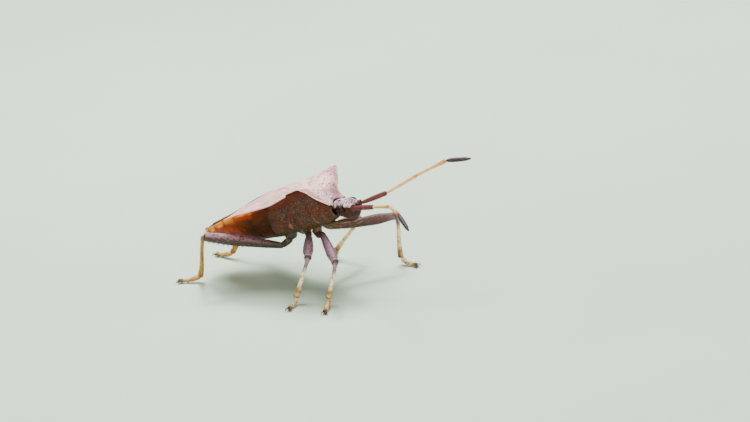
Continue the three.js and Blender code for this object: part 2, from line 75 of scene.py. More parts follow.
# Antennae: four joints each, with their lengths, girths (share of the joint, radius) and poses
# (heading, rise) in degrees
KNOB_ROOT = np.array([12.85, 0.38, -0.46])
KNOB_END = np.array([13.26, 0.47, -0.49])
ANTENNA_LENGTHS = [1.9, 2.45, 2.2, 1.7]
ANTENNA_SHAPES = [
    ([0, 0.1, 0.22, 0.6, 0.93, 1], [0.1, 0.13, 0.15, 0.175, 0.165, 0.1]),
    ([0, 0.05, 0.5, 0.93, 1], [0.08, 0.095, 0.1, 0.12, 0.08]),
    ([0, 0.05, 0.5, 0.93, 1], [0.08, 0.095, 0.1, 0.14, 0.09]),
    ([0, 0.08, 0.35, 0.75, 1], [0.07, 0.12, 0.155, 0.13, 0.05]),
]
ANTENNA_POSES = {
    "left": [[23.2, 6.9], [26.5, 14.5], [24.7, 11.3], [22.6, -10.1]],
    "right": [[-8.3, -0.8], [-24.5, 4.4], [-39.8, -4.1], [-37.7, -33.1]],
}

# Hips in the trunk frame: root of the coxa, its end and the root of the thigh. Both left legs
# named in HIP_SAG hang lower from their hips than the right ones.
HIPS = {
    "front": [[9.85, 0.62, -1.0], [9.78, 0.85, -1.88], [10.45, 1.12, -1.84]],
    "mid": [[8.9, 0.68, -1.0], [9.05, 0.85, -1.62], [9.32, 1.2, -1.76]],
    "hind": [[7.65, 0.72, -1.0], [7.42, 0.88, -1.9], [6.8, 1.22, -2.2]],
}
HIP_SAG = {"front_left": (-0.09, 0.08, -0.32), "mid_left": (0, 0, -0.35)}
# Knee, ankle and toe of each leg, over the floor
LEGS = {
    "front_right": [[13.31, -3.65, 3.3], [12.03, -3.41, 0.57], [12.66, -4.97, 0.0]],
    "front_left": [[13.2, 3.84, 3.65], [12.9, 3.91, 0.52], [14.51, 3.66, 0.0]],
    "mid_right": [[10.91, -3.47, 3.33], [9.56, -3.72, 0.51], [9.76, -5.11, 0.0]],
    "mid_left": [[9.86, 4.07, 3.01], [7.5, 3.56, 0.45], [6.8, 4.8, 0.0]],
    "hind_right": [[2.23, -3.46, 4.11], [0.23, -2.18, 0.45], [-1.48, -2.81, 0.0]],
    "hind_left": [[2.15, 3.02, 3.92], [-0.08, 1.89, 0.45], [-1.85, 2.02, 0.0]],
}
# Girths of the joints of a leg, as shares of the joint and radii
COXA_GIRTH = ([0, 0.3, 0.7, 1], [0.3, 0.34, 0.32, 0.2])
HIND_COXA_GIRTH = ([0, 0.3, 0.7, 1], [0.42, 0.46, 0.44, 0.2])
TROCHANTER_GIRTH = ([0, 0.4, 0.8, 1], [0.18, 0.24, 0.22, 0.16])
THIGH_GIRTH = {
    "front": ([0, 0.08, 0.4, 0.66, 0.9, 0.97, 1], [0.19, 0.24, 0.33, 0.37, 0.28, 0.29, 0.17]),
    "mid": ([0, 0.08, 0.4, 0.66, 0.9, 0.97, 1], [0.17, 0.23, 0.36, 0.41, 0.28, 0.3, 0.17]),
    "hind": ([0, 0.08, 0.35, 0.66, 0.9, 0.97, 1], [0.19, 0.24, 0.34, 0.4, 0.34, 0.32, 0.18]),
}
SHIN_GIRTH = ([0, 0.05, 0.15, 0.6, 0.92, 0.98, 1], [0.15, 0.17, 0.125, 0.14, 0.19, 0.2, 0.14])
FOOT_GIRTHS = [
    ([0, 0.15, 0.8, 1], [0.12, 0.16, 0.17, 0.12]),
    ([0, 0.6, 1], [0.1, 0.16, 0.11]),
    ([0, 0.3, 0.8, 1], [0.08, 0.11, 0.15, 0.1]),
]
FOOT_HEIGHTS = [0.42, 0.2, 0.17, 0.2]
# Claw and pad of a foot: points ahead, aside and up from its end, how many the smooth line has,
# and the girth along it
CLAW_ROD = (
    [(0, 0.05, 0), (0.14, 0.14, 0.03), (0.25, 0.19, -0.06), (0.29, 0.2, -0.16)], 24,
    ([0, 0.3, 1], [0.05, 0.055, 0.008]),
)
PAD_ROD = (
    [(0, 0.02, -0.02), (0.12, 0.05, -0.08), (0.2, 0.07, -0.14)], 14,
    ([0, 0.7, 1], [0.03, 0.045, 0.02]),
)
# Teeth under the hind thighs
TOOTH_HEIGHT = 0.14
TOOTH_THICKNESS = 0.07
# Reach of each joint along a leg, from 0 at the hip to 1 at the toe
COXA, TROCHANTER, FEMUR, TIBIA = (0, 0.1), (0.1, 0.15), (0.15, 0.5), (0.5, 0.8)
FOOT = ((0.8, 0.88), (0.88, 0.93), (0.93, 1.0))
# Where the upper face of a limb gives way to its darker under face, which is painted shade, from
# all upper to all under
LIMB_PAINTED_SHADE = (0.65, -0.3)
HIND_PAINTED_SHADE = (0.6, 0.1)

# Remeshing grain of the skins, and the bake map's patch for one bristle
HEAD_VOXEL = 0.022
LIMB_VOXEL = 0.02
CONE_SIDES = 4
CONE_POINTS = 12
BAKE_PATCH = 0.003

# The camera as fitted to the photograph, in millimetres, with its own right, up and back
CAMERA_PLACE = np.array([154.846, -178.746, 90.688])
CAMERA_AXES = [(0.81163, 0.56244, -0.15782), (-0.08087, 0.37573, 0.92319), (0.57854, -0.73653, 0.35044)]
CAMERA_LENS = 176
FLOOR_REACH = 3.0


def turned(points):
    """Trunk frame to the directions of the floor, without the lift."""
    x, y, z = np.moveaxis(np.asarray(points, float), -1, 0)
    cos, sin = math.cos(BODY_PITCH), math.sin(BODY_PITCH)
    return np.stack([cos * x - sin * z, y, sin * x + cos * z], axis=-1)


def centre(name):
    low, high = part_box(name)
    return np.array((low + high) / 2) / MM


between_eyes = (centre("eye_left") + centre("eye_right")) / 2
SHIFT = (between_eyes - turned(EYE_PLACE * [1, 0, 1])) * [1, 1, 0]


def over_floor(points):
    """Trunk frame to the row frame, both in millimetres."""
    return turned(points) + [0, 0, BODY_LIFT] + SHIFT


def smooth_curve(*pairs):
    """A smooth curve through a few (station, value) pairs that never overshoots them."""
    at, value = np.array(pairs, float).T
    slope = np.diff(value) / np.diff(at)
    before, after = slope[:-1], slope[1:]
    flat = before * after <= 0
    inner = np.where(flat, 0, 2 * before * after / np.where(flat, 1, before + after))
    tangent = np.concatenate([slope[:1], inner, slope[-1:]])

    def curve(station):
        station = np.clip(np.asarray(station, float), at[0], at[-1])
        i = np.clip(np.searchsorted(at, station, side="right") - 1, 0, len(slope) - 1)
        span = at[i + 1] - at[i]
        t = (station - at[i]) / span
        start = value[i] * (1 + 2 * t) * (1 - t) ** 2 + tangent[i] * span * t * (1 - t) ** 2
        end = value[i + 1] * t * t * (3 - 2 * t) - tangent[i + 1] * span * t * t * (1 - t)
        return start + end

    return curve


def ease(low, high, value):
    """0 at low, 1 at high and smooth between them, whichever of the two is larger."""
    t = np.clip((np.asarray(value, float) - low) / (high - low), 0, 1)
    return t * t * (3 - 2 * t)


def bump(value, middle, width):
    """1 at the middle, falling off to both sides over the width."""
    return np.exp(-(((value - middle) / width) ** 2))


def rounded(share, power):
    """Height of a rounded edge: 1 over most of the width and 0 at share 1 or -1."""
    return np.sqrt(np.clip(1 - np.abs(share) ** power, 0, 1))


def crowded(count, pull=0.5):
    """Shares from -1 to 1 that stand closer together near both ends."""
    even = np.linspace(-1, 1, count)
    return (1 - pull) * even + pull * np.sin(even * math.pi / 2)


def end_to_end(x):
    """-1 at the hind end of a piece and 1 at its front end."""
    return (x - x.min()) / (x.max() - x.min()) * 2 - 1


# Surfaces of the trunk, as in the solids
back_middle = smooth_curve(
    (-0.3, -0.52), (1.5, -0.16), (3, 0.3), (4.5, 0.86), (6, 1.18), (7.5, 1.42), (9, 1.56), (10, 1.5)
)
back_edge = smooth_curve(
    (-0.3, -0.55), (1.5, -0.2), (3, 0.3), (4.5, 0.6), (6, 0.76), (7.5, 0.95), (9, 1.36)
)
wing_half = smooth_curve(
    (0, 0.3), (0.8, 1.05), (2, 1.75), (3.5, 2.14), (5, 2.22), (6.4, 2.12), (7.6, 2.12), (9, 1.92)
)
abdomen_edge = smooth_curve(
    (ABDOMEN_TIP, 0.3), (0.3, 1.0), (1, 1.6), (2.2, 2.2), (3.6, 2.55), (4.9, 2.65), (6, 2.52), (7.2, 2.1)
)
rim_height = smooth_curve(
    (ABDOMEN_TIP, -0.5), (1, -0.25), (2.1, 0.1), (3.6, 0.5), (4.9, 0.7), (5.8, 0.72), (7.2, 0.38)
)
belly = smooth_curve((ABDOMEN_TIP, -1.02), (0.8, -1.25), (2.2, -1.5), (4, -1.68), (6, -1.68), (7.4, -1.62))
pronotum_edge = smooth_curve(
    (PRONOTUM_BACK, 1.6), (9.12, 1.95), (9.9, 2.13), (HORNS, 2.28), (10.76, 2.1),
    (10.86, 1.9), (11.04, 1.32), (11.25, 1.02), (11.6, 0.88), (COLLAR_FRONT, 0.87),
)
pronotum_middle = smooth_curve(
    (PRONOTUM_BACK, 1.6), (9.8, 1.6), (10.4, 1.32), (11.1, 0.72), (11.5, 0.28), (12, 0.1)
)
pronotum_rim = smooth_curve(
    (PRONOTUM_BACK, 1.42), (9.12, 1.47), (9.9, 1.66), (HORNS, 1.8), (10.76, 1.62),
    (10.86, 1.42), (11.04, 0.7), (11.25, 0.34), (11.6, 0.05), (COLLAR_FRONT, -0.1),
)
flank = smooth_curve((7.1, 2.05), (8.6, 1.85), (9.6, 1.8), (10.6, 1.5), (11.2, 0.95), (11.7, 0.8))
sternum = smooth_curve((7.1, -1.58), (8.5, -1.52), (10, -1.48), (10.8, -1.36), (11.7, -1.02))
head_half = smooth_curve(
    (HEAD_BACK, 0.42), (11.95, 0.64), (12.25, 0.7), (12.6, 0.7), (12.85, 0.62), (13.02, 0.48),
    (13.14, 0.36), (HEAD_FRONT, 0.2),
)
head_top = smooth_curve(
    (HEAD_BACK, 0.04), (11.95, 0.12), (12.25, 0.11), (12.6, 0.04), (12.85, -0.06), (13.02, -0.2),
    (13.14, -0.34), (HEAD_FRONT, -0.48),
)
head_low = smooth_curve(
    (HEAD_BACK, -0.9), (11.95, -1.08), (12.25, -1.16), (12.6, -1.28), (12.85, -1.3), (13.02, -1.22),
    (13.14, -1.1), (HEAD_FRONT, -0.95),
)


def wing_top(x, y):
    share = np.minimum(1, np.abs(y) / wing_half(x))
    return back_middle(x) + (back_edge(x) - back_middle(x)) * share**2.4


def corium_hind(x):
    return np.interp(x, [CORIUM_TIP, CORIUM_CORNER, CORIUM_CORNER + 0.2], [1.92, 0.1, -0.1])


def scutellum_side(x):
    return np.interp(x, [SCUTELLUM_TIP, PRONOTUM_BACK - 0.2], [0.04, 0.85])


def pronotum_top(x, station, share):
    """The shield's height at x, for a share of the way out to the rim of that station."""
    return pronotum_middle(x) + (pronotum_rim(station) - pronotum_middle(x)) * share**2


def rim_line(x):
    """The abdomen's turned-up rim, which rises to the wing's edge in front."""
    return rim_height(x) + (back_edge(x) - 0.05 - rim_height(x)) * ease(5.2, 6.4, x)


# Mesh helpers
def loft(rings):
    """Points and faces of a closed body through rings, each counted the same way round."""
    rings = np.asarray(rings, float)
    count, around = rings.shape[:2]
    ends = rings[[0, -1]].mean(axis=1)
    points = np.concatenate([rings.reshape(-1, 3), ends])
    at = np.arange(count * around).reshape(count, around)
    side = np.roll(at, -1, axis=1)
    quads = np.stack([at[:-1], side[:-1], side[1:], at[1:]], axis=-1).reshape(-1, 4)
    back, front = len(points) - 2, len(points) - 1
    caps = [(int(b), int(a), back) for a, b in zip(at[0], side[0])]
    caps += [(int(a), int(b), front) for a, b in zip(at[-1], side[-1])]
    return points, [tuple(quad) for quad in quads.tolist()] + caps


def plate(x, y, top, bottom):
    """Points and faces of a closed plate on a grid with rows forwards and columns to the left."""
    rows, columns = x.shape
    points = np.concatenate([np.stack([x, y, z], axis=-1).reshape(-1, 3) for z in (top, bottom)])
    upper = np.arange(rows * columns).reshape(rows, columns)
    lower = upper + rows * columns

    def quads(a, b, c, d):
        return np.stack([a, b, c, d], axis=-1).reshape(-1, 4).tolist()

    faces = quads(upper[:-1, :-1], upper[1:, :-1], upper[1:, 1:], upper[:-1, 1:])
    faces += quads(lower[:-1, :-1], lower[:-1, 1:], lower[1:, 1:], lower[1:, :-1])
    faces += quads(upper[:-1, 0], lower[:-1, 0], lower[1:, 0], upper[1:, 0])
    faces += quads(upper[:-1, -1], upper[1:, -1], lower[1:, -1], lower[:-1, -1])
    faces += quads(upper[0, :-1], upper[0, 1:], lower[0, 1:], lower[0, :-1])
    faces += quads(upper[-1, :-1], lower[-1, :-1], lower[-1, 1:], upper[-1, 1:])
    return points, [tuple(face) for face in faces]


def together(bodies):
    points, faces, start = [], [], 0
    for body_points, body_faces in bodies:
        points.append(np.asarray(body_points, float))
        faces += [tuple(i + start for i in face) for face in body_faces]
        start += len(body_points)
    return np.concatenate(points), faces


def directions(path):
    along = np.gradient(path, axis=0)
    return along / np.linalg.norm(along, axis=1, keepdims=True)


def tube(path, radii, sides=20, flatten=1.0, up=(0, 0, 1)):
    """A tube along a path whose radius changes from point to point."""
    path, radii = np.asarray(path, float), np.asarray(radii, float)
    along = directions(path)
    side = np.cross(along, np.asarray(up, float))
    side /= np.linalg.norm(side, axis=1, keepdims=True)
    over = np.cross(side, along)
    angle = np.linspace(0, 2 * math.pi, sides, endpoint=False)[None, :, None]
    ring = np.cos(angle) * side[:, None] * flatten + np.sin(angle) * over[:, None]
    return loft(path[:, None] + ring * radii[:, None, None])


def straight(start, end, count, bow=(0, 0, 0)):
    """Evenly spaced points from start to end, bowed in the middle."""
    t = np.linspace(0, 1, count)[:, None]
    return np.asarray(start) * (1 - t) + np.asarray(end) * t + np.asarray(bow) * np.sin(math.pi * t)


def smooth_path(points, count):
    """A smooth line through a few points."""
    points = np.asarray(points, float)
    steps = np.linalg.norm(np.diff(points, axis=0), axis=1)
    length = np.concatenate([[0], np.cumsum(steps)])
    at = np.linspace(0, length[-1], count)
    tangent = np.gradient(points, length, axis=0)
    i = np.clip(np.searchsorted(length, at, side="right") - 1, 0, len(points) - 2)
    span = (length[i + 1] - length[i])[:, None]
    t = ((at - length[i]) / span[:, 0])[:, None]
    start = points[i] * (1 + 2 * t) * (1 - t) ** 2 + tangent[i] * span * t * (1 - t) ** 2
    return start + points[i + 1] * t * t * (3 - 2 * t) - tangent[i + 1] * span * t * t * (1 - t)


def capped(girth, count, end=0.06):
    """Shares and radii along a limb, closed round at both ends over the share that end gives."""
    opening = end * (1 - np.cos(np.linspace(0, math.pi / 2, 6)[:-1]))
    closing = 1 - end * (1 - np.cos(np.linspace(math.pi / 2, 0, 6)[1:]))
    t = np.concatenate([opening, np.linspace(end, 1 - end, count), closing])
    fade = np.sqrt(np.clip(1 - (np.clip(end - t, 0, end) / end) ** 2, 0, 1))
    fade = fade * np.sqrt(np.clip(1 - (np.clip(t - 1 + end, 0, end) / end) ** 2, 0, 1))
    return t, smooth_curve(*zip(*girth))(t) * np.maximum(fade, 0.02)


def numbers(items, key, width=3):
    """A value or vector of each item of a mesh, as an array with a row for each item."""
    flat = np.empty(len(items) * width)
    items.foreach_get(key, flat)
    return flat.reshape(-1, width)


def coordinates(mesh):
    return numbers(mesh.vertices, "co")


def normals(mesh):
    return numbers(mesh.vertex_normals, "vector")


def put(mesh, points):
    mesh.vertices.foreach_set("co", np.asarray(points, np.float32).ravel())
    mesh.update()


def mesh_of(name, body):
    """A mesh in millimetres, of the points and faces of a body."""
    points, faces = body
    mesh = bpy.data.meshes.new(name)
    mesh.from_pydata(np.asarray(points).tolist(), [], faces)
    mesh.update()
    return mesh


def object_of(mesh, name=None):
    made = bpy.data.objects.new(name or mesh.name, mesh)
    bpy.context.scene.collection.objects.link(made)
    return made


def evaluated(host):
    """What a host object's modifiers make of its mesh; the host and its mesh are removed."""
    made = bpy.data.meshes.new_from_object(host.evaluated_get(bpy.context.evaluated_depsgraph_get()))
    used = host.data
    bpy.data.objects.remove(host)
    bpy.data.meshes.remove(used)
    return made


def remeshed(name, bodies, voxel, rounds):
    """Bodies that run into each other made one even skin, then smoothed a little."""
    rough = object_of(mesh_of(name, together(bodies)), name + "_rough")
    skin = rough.modifiers.new("skin", "REMESH")
    skin.mode = "VOXEL"
    skin.voxel_size = voxel
    soften = rough.modifiers.new("soften", "SMOOTH")
    soften.iterations = rounds
    soften.factor = 0.5
    mesh = evaluated(rough)
    mesh.name = name
    return mesh


def add_masks(mesh, **masks):
    """Keeps a value for each point and name, for the materials to read."""
    for name, values in masks.items():
        layer = mesh.attributes.new(name, "FLOAT", "POINT")
        layer.data.foreach_set("value", np.asarray(values, np.float32).ravel())


def spaced_places(points, spacing, seed):
    """A random choice of the points, no two of them nearer than the spacing."""
    order = np.random.default_rng(seed).permutation(len(points))
    cells = np.floor(points / spacing).astype(int).tolist()
    around = [(i, j, k) for i in (-1, 0, 1) for j in (-1, 0, 1) for k in (-1, 0, 1)]
    taken, chosen = {}, []
    for n in order:
        a, b, c = cells[n]
        near = [other for i, j, k in around for other in taken.get((a + i, b + j, c + k), ())]
        if all(np.sum((points[other] - points[n]) ** 2) >= spacing**2 for other in near):
            taken.setdefault((a, b, c), []).append(n)
            chosen.append(n)
    return points[chosen]


def tree_of(places):
    tree = KDTree(len(places))
    for i, place in enumerate(places):
        tree.insert(place, i)
    tree.balance()
    return tree


def pit(mesh, spacing, radius, depth, seed, share=1.0):
    """Presses fine pits, some fainter than others, into a mesh and keeps them as a mask."""
    points = coordinates(mesh)
    places = spaced_places(points, spacing, seed)
    strength = np.random.default_rng(seed).uniform(0.35, 1, len(places))
    tree = tree_of(places)
    found = [tree.find(point) for point in points]
    distance = np.array([hit[2] for hit in found])
    mask = np.exp(-((distance / radius) ** 4)) * strength[[hit[1] for hit in found]] * share
    put(mesh, points - normals(mesh) * (depth * mask)[:, None])
    add_masks(mesh, pits=mask)


def dressed(mesh, material):
    """Makes a mesh that is in its place a piece that rides on the body."""
    mesh.polygons.foreach_set("use_smooth", np.ones(len(mesh.polygons), bool))
    mesh.materials.clear()
    mesh.materials.append(material)
    piece = object_of(mesh)
    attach(piece, "root")
    return piece


def on_trunk(mesh, material, slot, *nodes):
    """Dresses a mesh of the trunk frame, in millimetres, which stands for its nodes."""
    put(mesh, over_floor(coordinates(mesh)) * MM)
    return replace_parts(dressed(mesh, material), *nodes)


def on_floor(mesh, material, slot, *nodes):
    """Does the same for a mesh that stands over the floor already."""
    put(mesh, coordinates(mesh) * MM)
    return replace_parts(dressed(mesh, material), *nodes)


# Materials
CUTICLE_IOR = 1.54


def linear(code):
    """An sRGB hex colour as the linear colour that a shader takes."""
    parts = [int(code[i : i + 2], 16) / 255 for i in (1, 3, 5)]
    return [c / 12.92 if c <= 0.04045 else ((c + 0.055) / 1.055) ** 2.4 for c in parts] + [1.0]


def per(size_mm):
    """Scale of a pattern whose features are that many millimetres across."""
    return 1 / (size_mm * MM)


def node(owner, kind, links=None, **settings):
    """Adds a node to a material or a tree; links maps its inputs to values or other nodes' outputs."""
    tree = getattr(owner, "node_tree", owner)
    made = tree.nodes.new(kind)
    for key, value in settings.items():
        setattr(made, key, value)
    for key, value in (links or {}).items():
        if isinstance(value, bpy.types.NodeSocket):
            tree.links.new(value, made.inputs[key])
        else:
            made.inputs[key].default_value = value
    return made


def new_material(name):
    material = bpy.data.materials.new(name)
    material.use_nodes = True
    material.node_tree.nodes.clear()
    return material


def pattern(material, size_mm, low, high, detail=3.0, cells=False):
    """A noise or cell pattern on the object's own coordinates, turned into a mask."""
    place = node(material, "ShaderNodeTexCoord").outputs["Object"]
    links = {"Vector": place, "Scale": per(size_mm)}
    if cells:
        value = node(material, "ShaderNodeTexVoronoi", links).outputs["Distance"]
    else:
        value = node(material, "ShaderNodeTexNoise", {**links, "Detail": detail}).outputs["Fac"]
    limits = {0: value, 1: low, 2: high}
    return node(material, "ShaderNodeMapRange", limits, interpolation_type="SMOOTHSTEP").outputs[0]


def painted(material, cloud, base, *coats):
    """Coats of colour over a base. A coat is its mask, how well it covers and its tone. A mask is
    the name of the mesh's mask or a socket; a tone is a hex colour, two that the cloud blends or a socket."""

    def blend(share, under, over):
        return node(material, "ShaderNodeMix", {0: share, 6: under, 7: over}, data_type="RGBA").outputs[2]

    def tone(code):
        if isinstance(code, tuple):
            return blend(cloud, linear(code[0]), linear(code[1]))
        return linear(code) if isinstance(code, str) else code

    color = tone(base)
    for mask, cover, code in coats:
        if isinstance(mask, str):
            mask = node(material, "ShaderNodeAttribute", attribute_name=mask).outputs["Fac"]
        share = node(material, "ShaderNodeMath", {0: mask, 1: cover}, operation="MULTIPLY", use_clamp=True)
        color = blend(share.outputs[0], color, tone(code))
    return color


def surface(material, color, roughness, height=None, height_mm=0.01, ior=CUTICLE_IOR, shine=0.5):
    """Closes a material: its shader, its fine relief and its output."""
    links = {"Base Color": color, "Roughness": roughness, "IOR": ior, "Specular IOR Level": shine}
    if height is not None:
        relief = {"Height": height, "Distance": height_mm * MM, "Strength": 1.0}
        links["Normal"] = node(material, "ShaderNodeBump", relief).outputs[0]
    made = node(material, "ShaderNodeBsdfPrincipled", links)
    node(material, "ShaderNodeOutputMaterial", {"Surface": made.outputs[0]})
    return material


def back_cuticle():
    # Cuticle of the back: dull brown sclerotin with dark pits. Its pale pink top is a painted sheen of
    # bright sky over the brown, so it looks matt and pale from above and brown at the bottom of each
    # pit. The real pits are 0.1 mm apart; they are drawn 0.15 to 0.17 mm apart so that they show.
    material = new_material("sheen_painted_back_cuticle")
    cloud = pattern(material, 0.8, 0.36, 0.64)
    disc = node(material, "ShaderNodeAttribute", attribute_name="disc").outputs["Fac"]
    pits = node(material, "ShaderNodeAttribute", attribute_name="pits").outputs["Fac"]
    mottle = node(material, "ShaderNodeMath", {0: disc, 1: 0.5, 2: 0.4}, operation="MULTIPLY_ADD").outputs[0]
    stain = {0: pattern(material, 0.24, 0.54, 0.68, detail=4), 1: mottle}
    stain = node(material, "ShaderNodeMath", stain, operation="MULTIPLY").outputs[0]
    crowds = pattern(material, 0.45, 0.4, 0.62)
    depth = node(material, "ShaderNodeMapRange", {0: crowds, 3: 0.4, 4: 1.0}).outputs[0]
    dark = node(material, "ShaderNodeMath", {0: pits, 1: depth}, operation="MULTIPLY").outputs[0]
    color = painted(
        # the pale pink base is a painted sheen over brown cuticle
        material, cloud, ("#f4cac6", "#d29ca0"),
        # the pronotum's brighter peach tone is a painted highlight
        ("disc", 0.7, ("#ffd6cd", "#dea8ab")),
        ("front", 0.85, ("#d2b4c4", "#7a5464")),
        # the darker mauve of the horns is partly their own tone and partly painted shade
        ("horn", 0.85, ("#bf818d", "#925868")),
        (stain, 1, "#804c5a"),
        ("vein", 0.6, "#f7e2d6"),
        ("margin", 1, "#fae3c4"),
        ("groove", 0.7, "#7a4648"),
        (dark, 1, "#34171c"),
        ("under", 1, "#4c1402"),
    )
    rough = node(material, "ShaderNodeMapRange", {0: cloud, 3: 0.45, 4: 0.62}).outputs[0]
    grain = pattern(material, 0.05, 0.3, 0.7)
    return surface(material, color, rough, grain, 0.01, shine=0.35)


def side_cuticle():
    # Cuticle of the flanks: dark brown, densely pitted sclerotin with a rusty network between the
    # pits. It is rough, so it keeps only a weak shine.
    material = new_material("pitted_flank_cuticle")
    cloud = pattern(material, 0.8, 0.38, 0.62)
    fleck = pattern(material, 0.08, 0.46, 0.72, detail=5)
    blotch = pattern(material, 0.3, 0.5, 0.68, detail=4)
    color = painted(
        material, cloud, ("#3a1708", "#34231a"),
        (fleck, 1, ("#7a3818", "#64493a")),
        (blotch, 0.6, "#190a05"),
        ("rust", 0.95, painted(material, fleck, ("#3e0b00", "#782000"))),
        ("waist", 1, ("#241004", "#46220a")),
        ("olive", 1, "#33280a"),
        # groove: dark seams and the ear's hole, plus painted shadow on the front cap where the head meets it
        ("groove", 0.55, "#1c0c05"),
        ("pits", 0.85, "#170804"),
        ("pale", 1, "#b8946c"),
        ("ear", 1, "#a87850"),
    )
    grain = pattern(material, 0.04, 0.3, 0.7)
    return surface(material, color, 0.6, grain, 0.01, shine=0.2)


def belly_cuticle():
    # Cuticle of the abdomen: thinner, smoother and redder, with an orange and brown banded rim. Its
    # shine is weak, so the rim stays dark where it faces the sky.
    material = new_material("banded_belly_cuticle")
    cloud = pattern(material, 0.6, 0.4, 0.62, detail=4)
    speck = pattern(material, 0.1, 0.28, 0.14, cells=True)
    color = painted(
        material, cloud, ("#a43c00", "#6c2800"),
        ("front", 1, ("#241004", "#3c1a02")),
        (speck, 0.6, "#220c03"),
        ("rust", 1, ("#5c1600", "#3c0e00")),
        ("rim", 1, "#8c3202"),
        ("orange", 1, ("#ff9200", "#ff7e00")),
        ("edge", 0.5, "#f2ae4a"),
        ("groove", 0.6, "#2a0f03"),
        ("spiracle", 1, "#120603"),
    )
    grain = pattern(material, 0.05, 0.3, 0.7)
    return surface(material, color, 0.5, grain, 0.008, shine=0.08)


def membrane_film():
    # The wings' hind part: a thin bronze film with darker veins, glossy and slightly see-through
    # in life, but here it lies on the dark back of the abdomen and is drawn opaque.
    material = new_material("bronze_wing_film")
    cloud = pattern(material, 0.5, 0.35, 0.7, detail=4)
    color = painted(material, cloud, ("#745446", "#443024"), ("vein", 1, "#2c1810"))
    return surface(material, color, 0.24, pattern(material, 0.06, 0.3, 0.7), 0.004, ior=1.5)


def head_cuticle():
    # Cuticle of the head: granular; its pale top is a painted sheen over brown, and its dark
    # sides are brown darkened by painted shade.
    material = new_material("granular_head_cuticle")
    cloud = pattern(material, 0.16, 0.42, 0.6, detail=5)
    color = painted(
        material, cloud, ("#d4bac8", "#7a5c68"),
        ("pits", 1, "#2c1619"),
        ("side", 1, ("#220d08", "#3e1a10")),
        ("knob", 0.85, ("#5a2a26", "#3a1614")),
    )
    grain = pattern(material, 0.03, 0.3, 0.7)
    return surface(material, color, 0.55, grain, 0.01, shine=0.2)


def eye_lens():
    # Compound eye: clear lenses over dark red-brown pigment, smooth and dark.
    material = new_material("compound_eye_lens")
    color = painted(material, None, "#090403", ("facet", 1, "#260d06"))
    return surface(material, color, 0.2, ior=1.5, shine=0.16)


def ocellus_lens():
    # Simple eye: a smooth bead of clear cuticle over red pigment.
    material = new_material("simple_eye_lens")
    color = painted(material, pattern(material, 0.08, 0.4, 0.6), ("#6a1c10", "#2a0c08"))
    return surface(material, color, 0.1, ior=1.56)


def claw_horn():
    # Claws: solid dark horn, smooth and glossy.
    material = new_material("claw_horn")
    color = painted(material, pattern(material, 0.1, 0.35, 0.65), ("#2a1a12", "#4a3020"))
    return surface(material, color, 0.25, ior=1.55)


def pale_setae():
    # Setae: fine solid bristles, paler and glossier than the cuticle under them.
    material = new_material("pale_setae")
    color = painted(material, pattern(material, 0.6, 0.35, 0.65), ("#a58a74", "#6e5446"))
    return surface(material, color, 0.4, ior=1.55)


def limb_cuticle(name, top, under, speck_code):
    # Cuticle of legs and feelers: satin, coloured joint by joint, darker on the legs' under faces as
    # painted shade, with dark specks round the hair roots. The real specks are finer; they are 0.12 mm
    # so that they show.
    material = new_material(name)
    tones = []
    for stops in (top, under):
        reach = node(material, "ShaderNodeAttribute", attribute_name="reach").outputs["Fac"]
        ramp = node(material, "ShaderNodeValToRGB", {"Fac": reach})
        elements = ramp.color_ramp.elements
        elements.remove(elements[-1])
        elements[0].position, elements[0].color = stops[0][0], linear(stops[0][1])
        for position, code in stops[1:]:
            elements.new(position).color = linear(code)
        tones.append(ramp.outputs["Color"])
    # the under faces take the darker tones, as painted shade
    color = painted(material, None, tones[0], ("under", 0.9, tones[1]))
    shaded = {0: 1.0, 6: color, 7: linear("#a88a80")}
    shaded = node(material, "ShaderNodeMix", shaded, data_type="RGBA", blend_type="MULTIPLY").outputs[2]
    cloud = pattern(material, 0.3, 0.4, 0.66, detail=4)
    speckled = node(material, "ShaderNodeAttribute", attribute_name="speckled").outputs["Fac"]
    dots = {0: pattern(material, 0.12, 0.53, 0.62, detail=1), 1: speckled}
    dots = node(material, "ShaderNodeMath", dots, operation="MULTIPLY").outputs[0]
    color = painted(material, None, color, (cloud, 0.3, shaded), (dots, 1, speck_code))
    grain = pattern(material, 0.04, 0.3, 0.7)
    return surface(material, color, 0.48, grain, 0.008, shine=0.3)


# Colours along the limbs, as (reach, hex colour); the under-face lists are darker as painted shade
FEELER_STOPS = [
    (0, "#3c1418"), (0.03, "#682a32"), (0.2, "#66262f"), (0.245, "#4a1820"), (0.255, "#eaae68"),
    (0.3, "#f2bb72"), (0.44, "#eead60"), (0.495, "#b06a34"), (0.505, "#e8ac60"), (0.6, "#eeb05e"),
    (0.7, "#dc9a50"), (0.745, "#8c5638"), (0.755, "#2e1c34"), (0.85, "#2a1a30"), (1, "#24162a"),
]
WALKING_TOP = [
    (0, "#4a280a"), (0.08, "#4c300a"), (0.1, "#4c3810"), (0.15, "#4a2c1c"), (0.17, "#4c3238"),
    (0.21, "#6c4c60"), (0.3, "#6e4f60"), (0.44, "#785a6e"), (0.468, "#6c5264"), (0.478, "#ac9090"),
    (0.486, "#241418"), (0.494, "#3a2a30"), (0.5, "#9c8090"), (0.56, "#7c6470"), (0.61, "#f2deb2"),
    (0.68, "#faeec8"), (0.72, "#dcb67c"), (0.742, "#8c5c30"), (0.765, "#e2c084"), (0.785, "#6c4020"),
    (0.798, "#341c12"), (0.805, "#f2d8a8"), (0.84, "#cca668"), (0.87, "#f0d29c"), (0.88, "#805a34"),
    (0.89, "#ecca92"), (0.93, "#d8b27a"), (0.97, "#a87e48"), (1, "#2c1a10"),
]
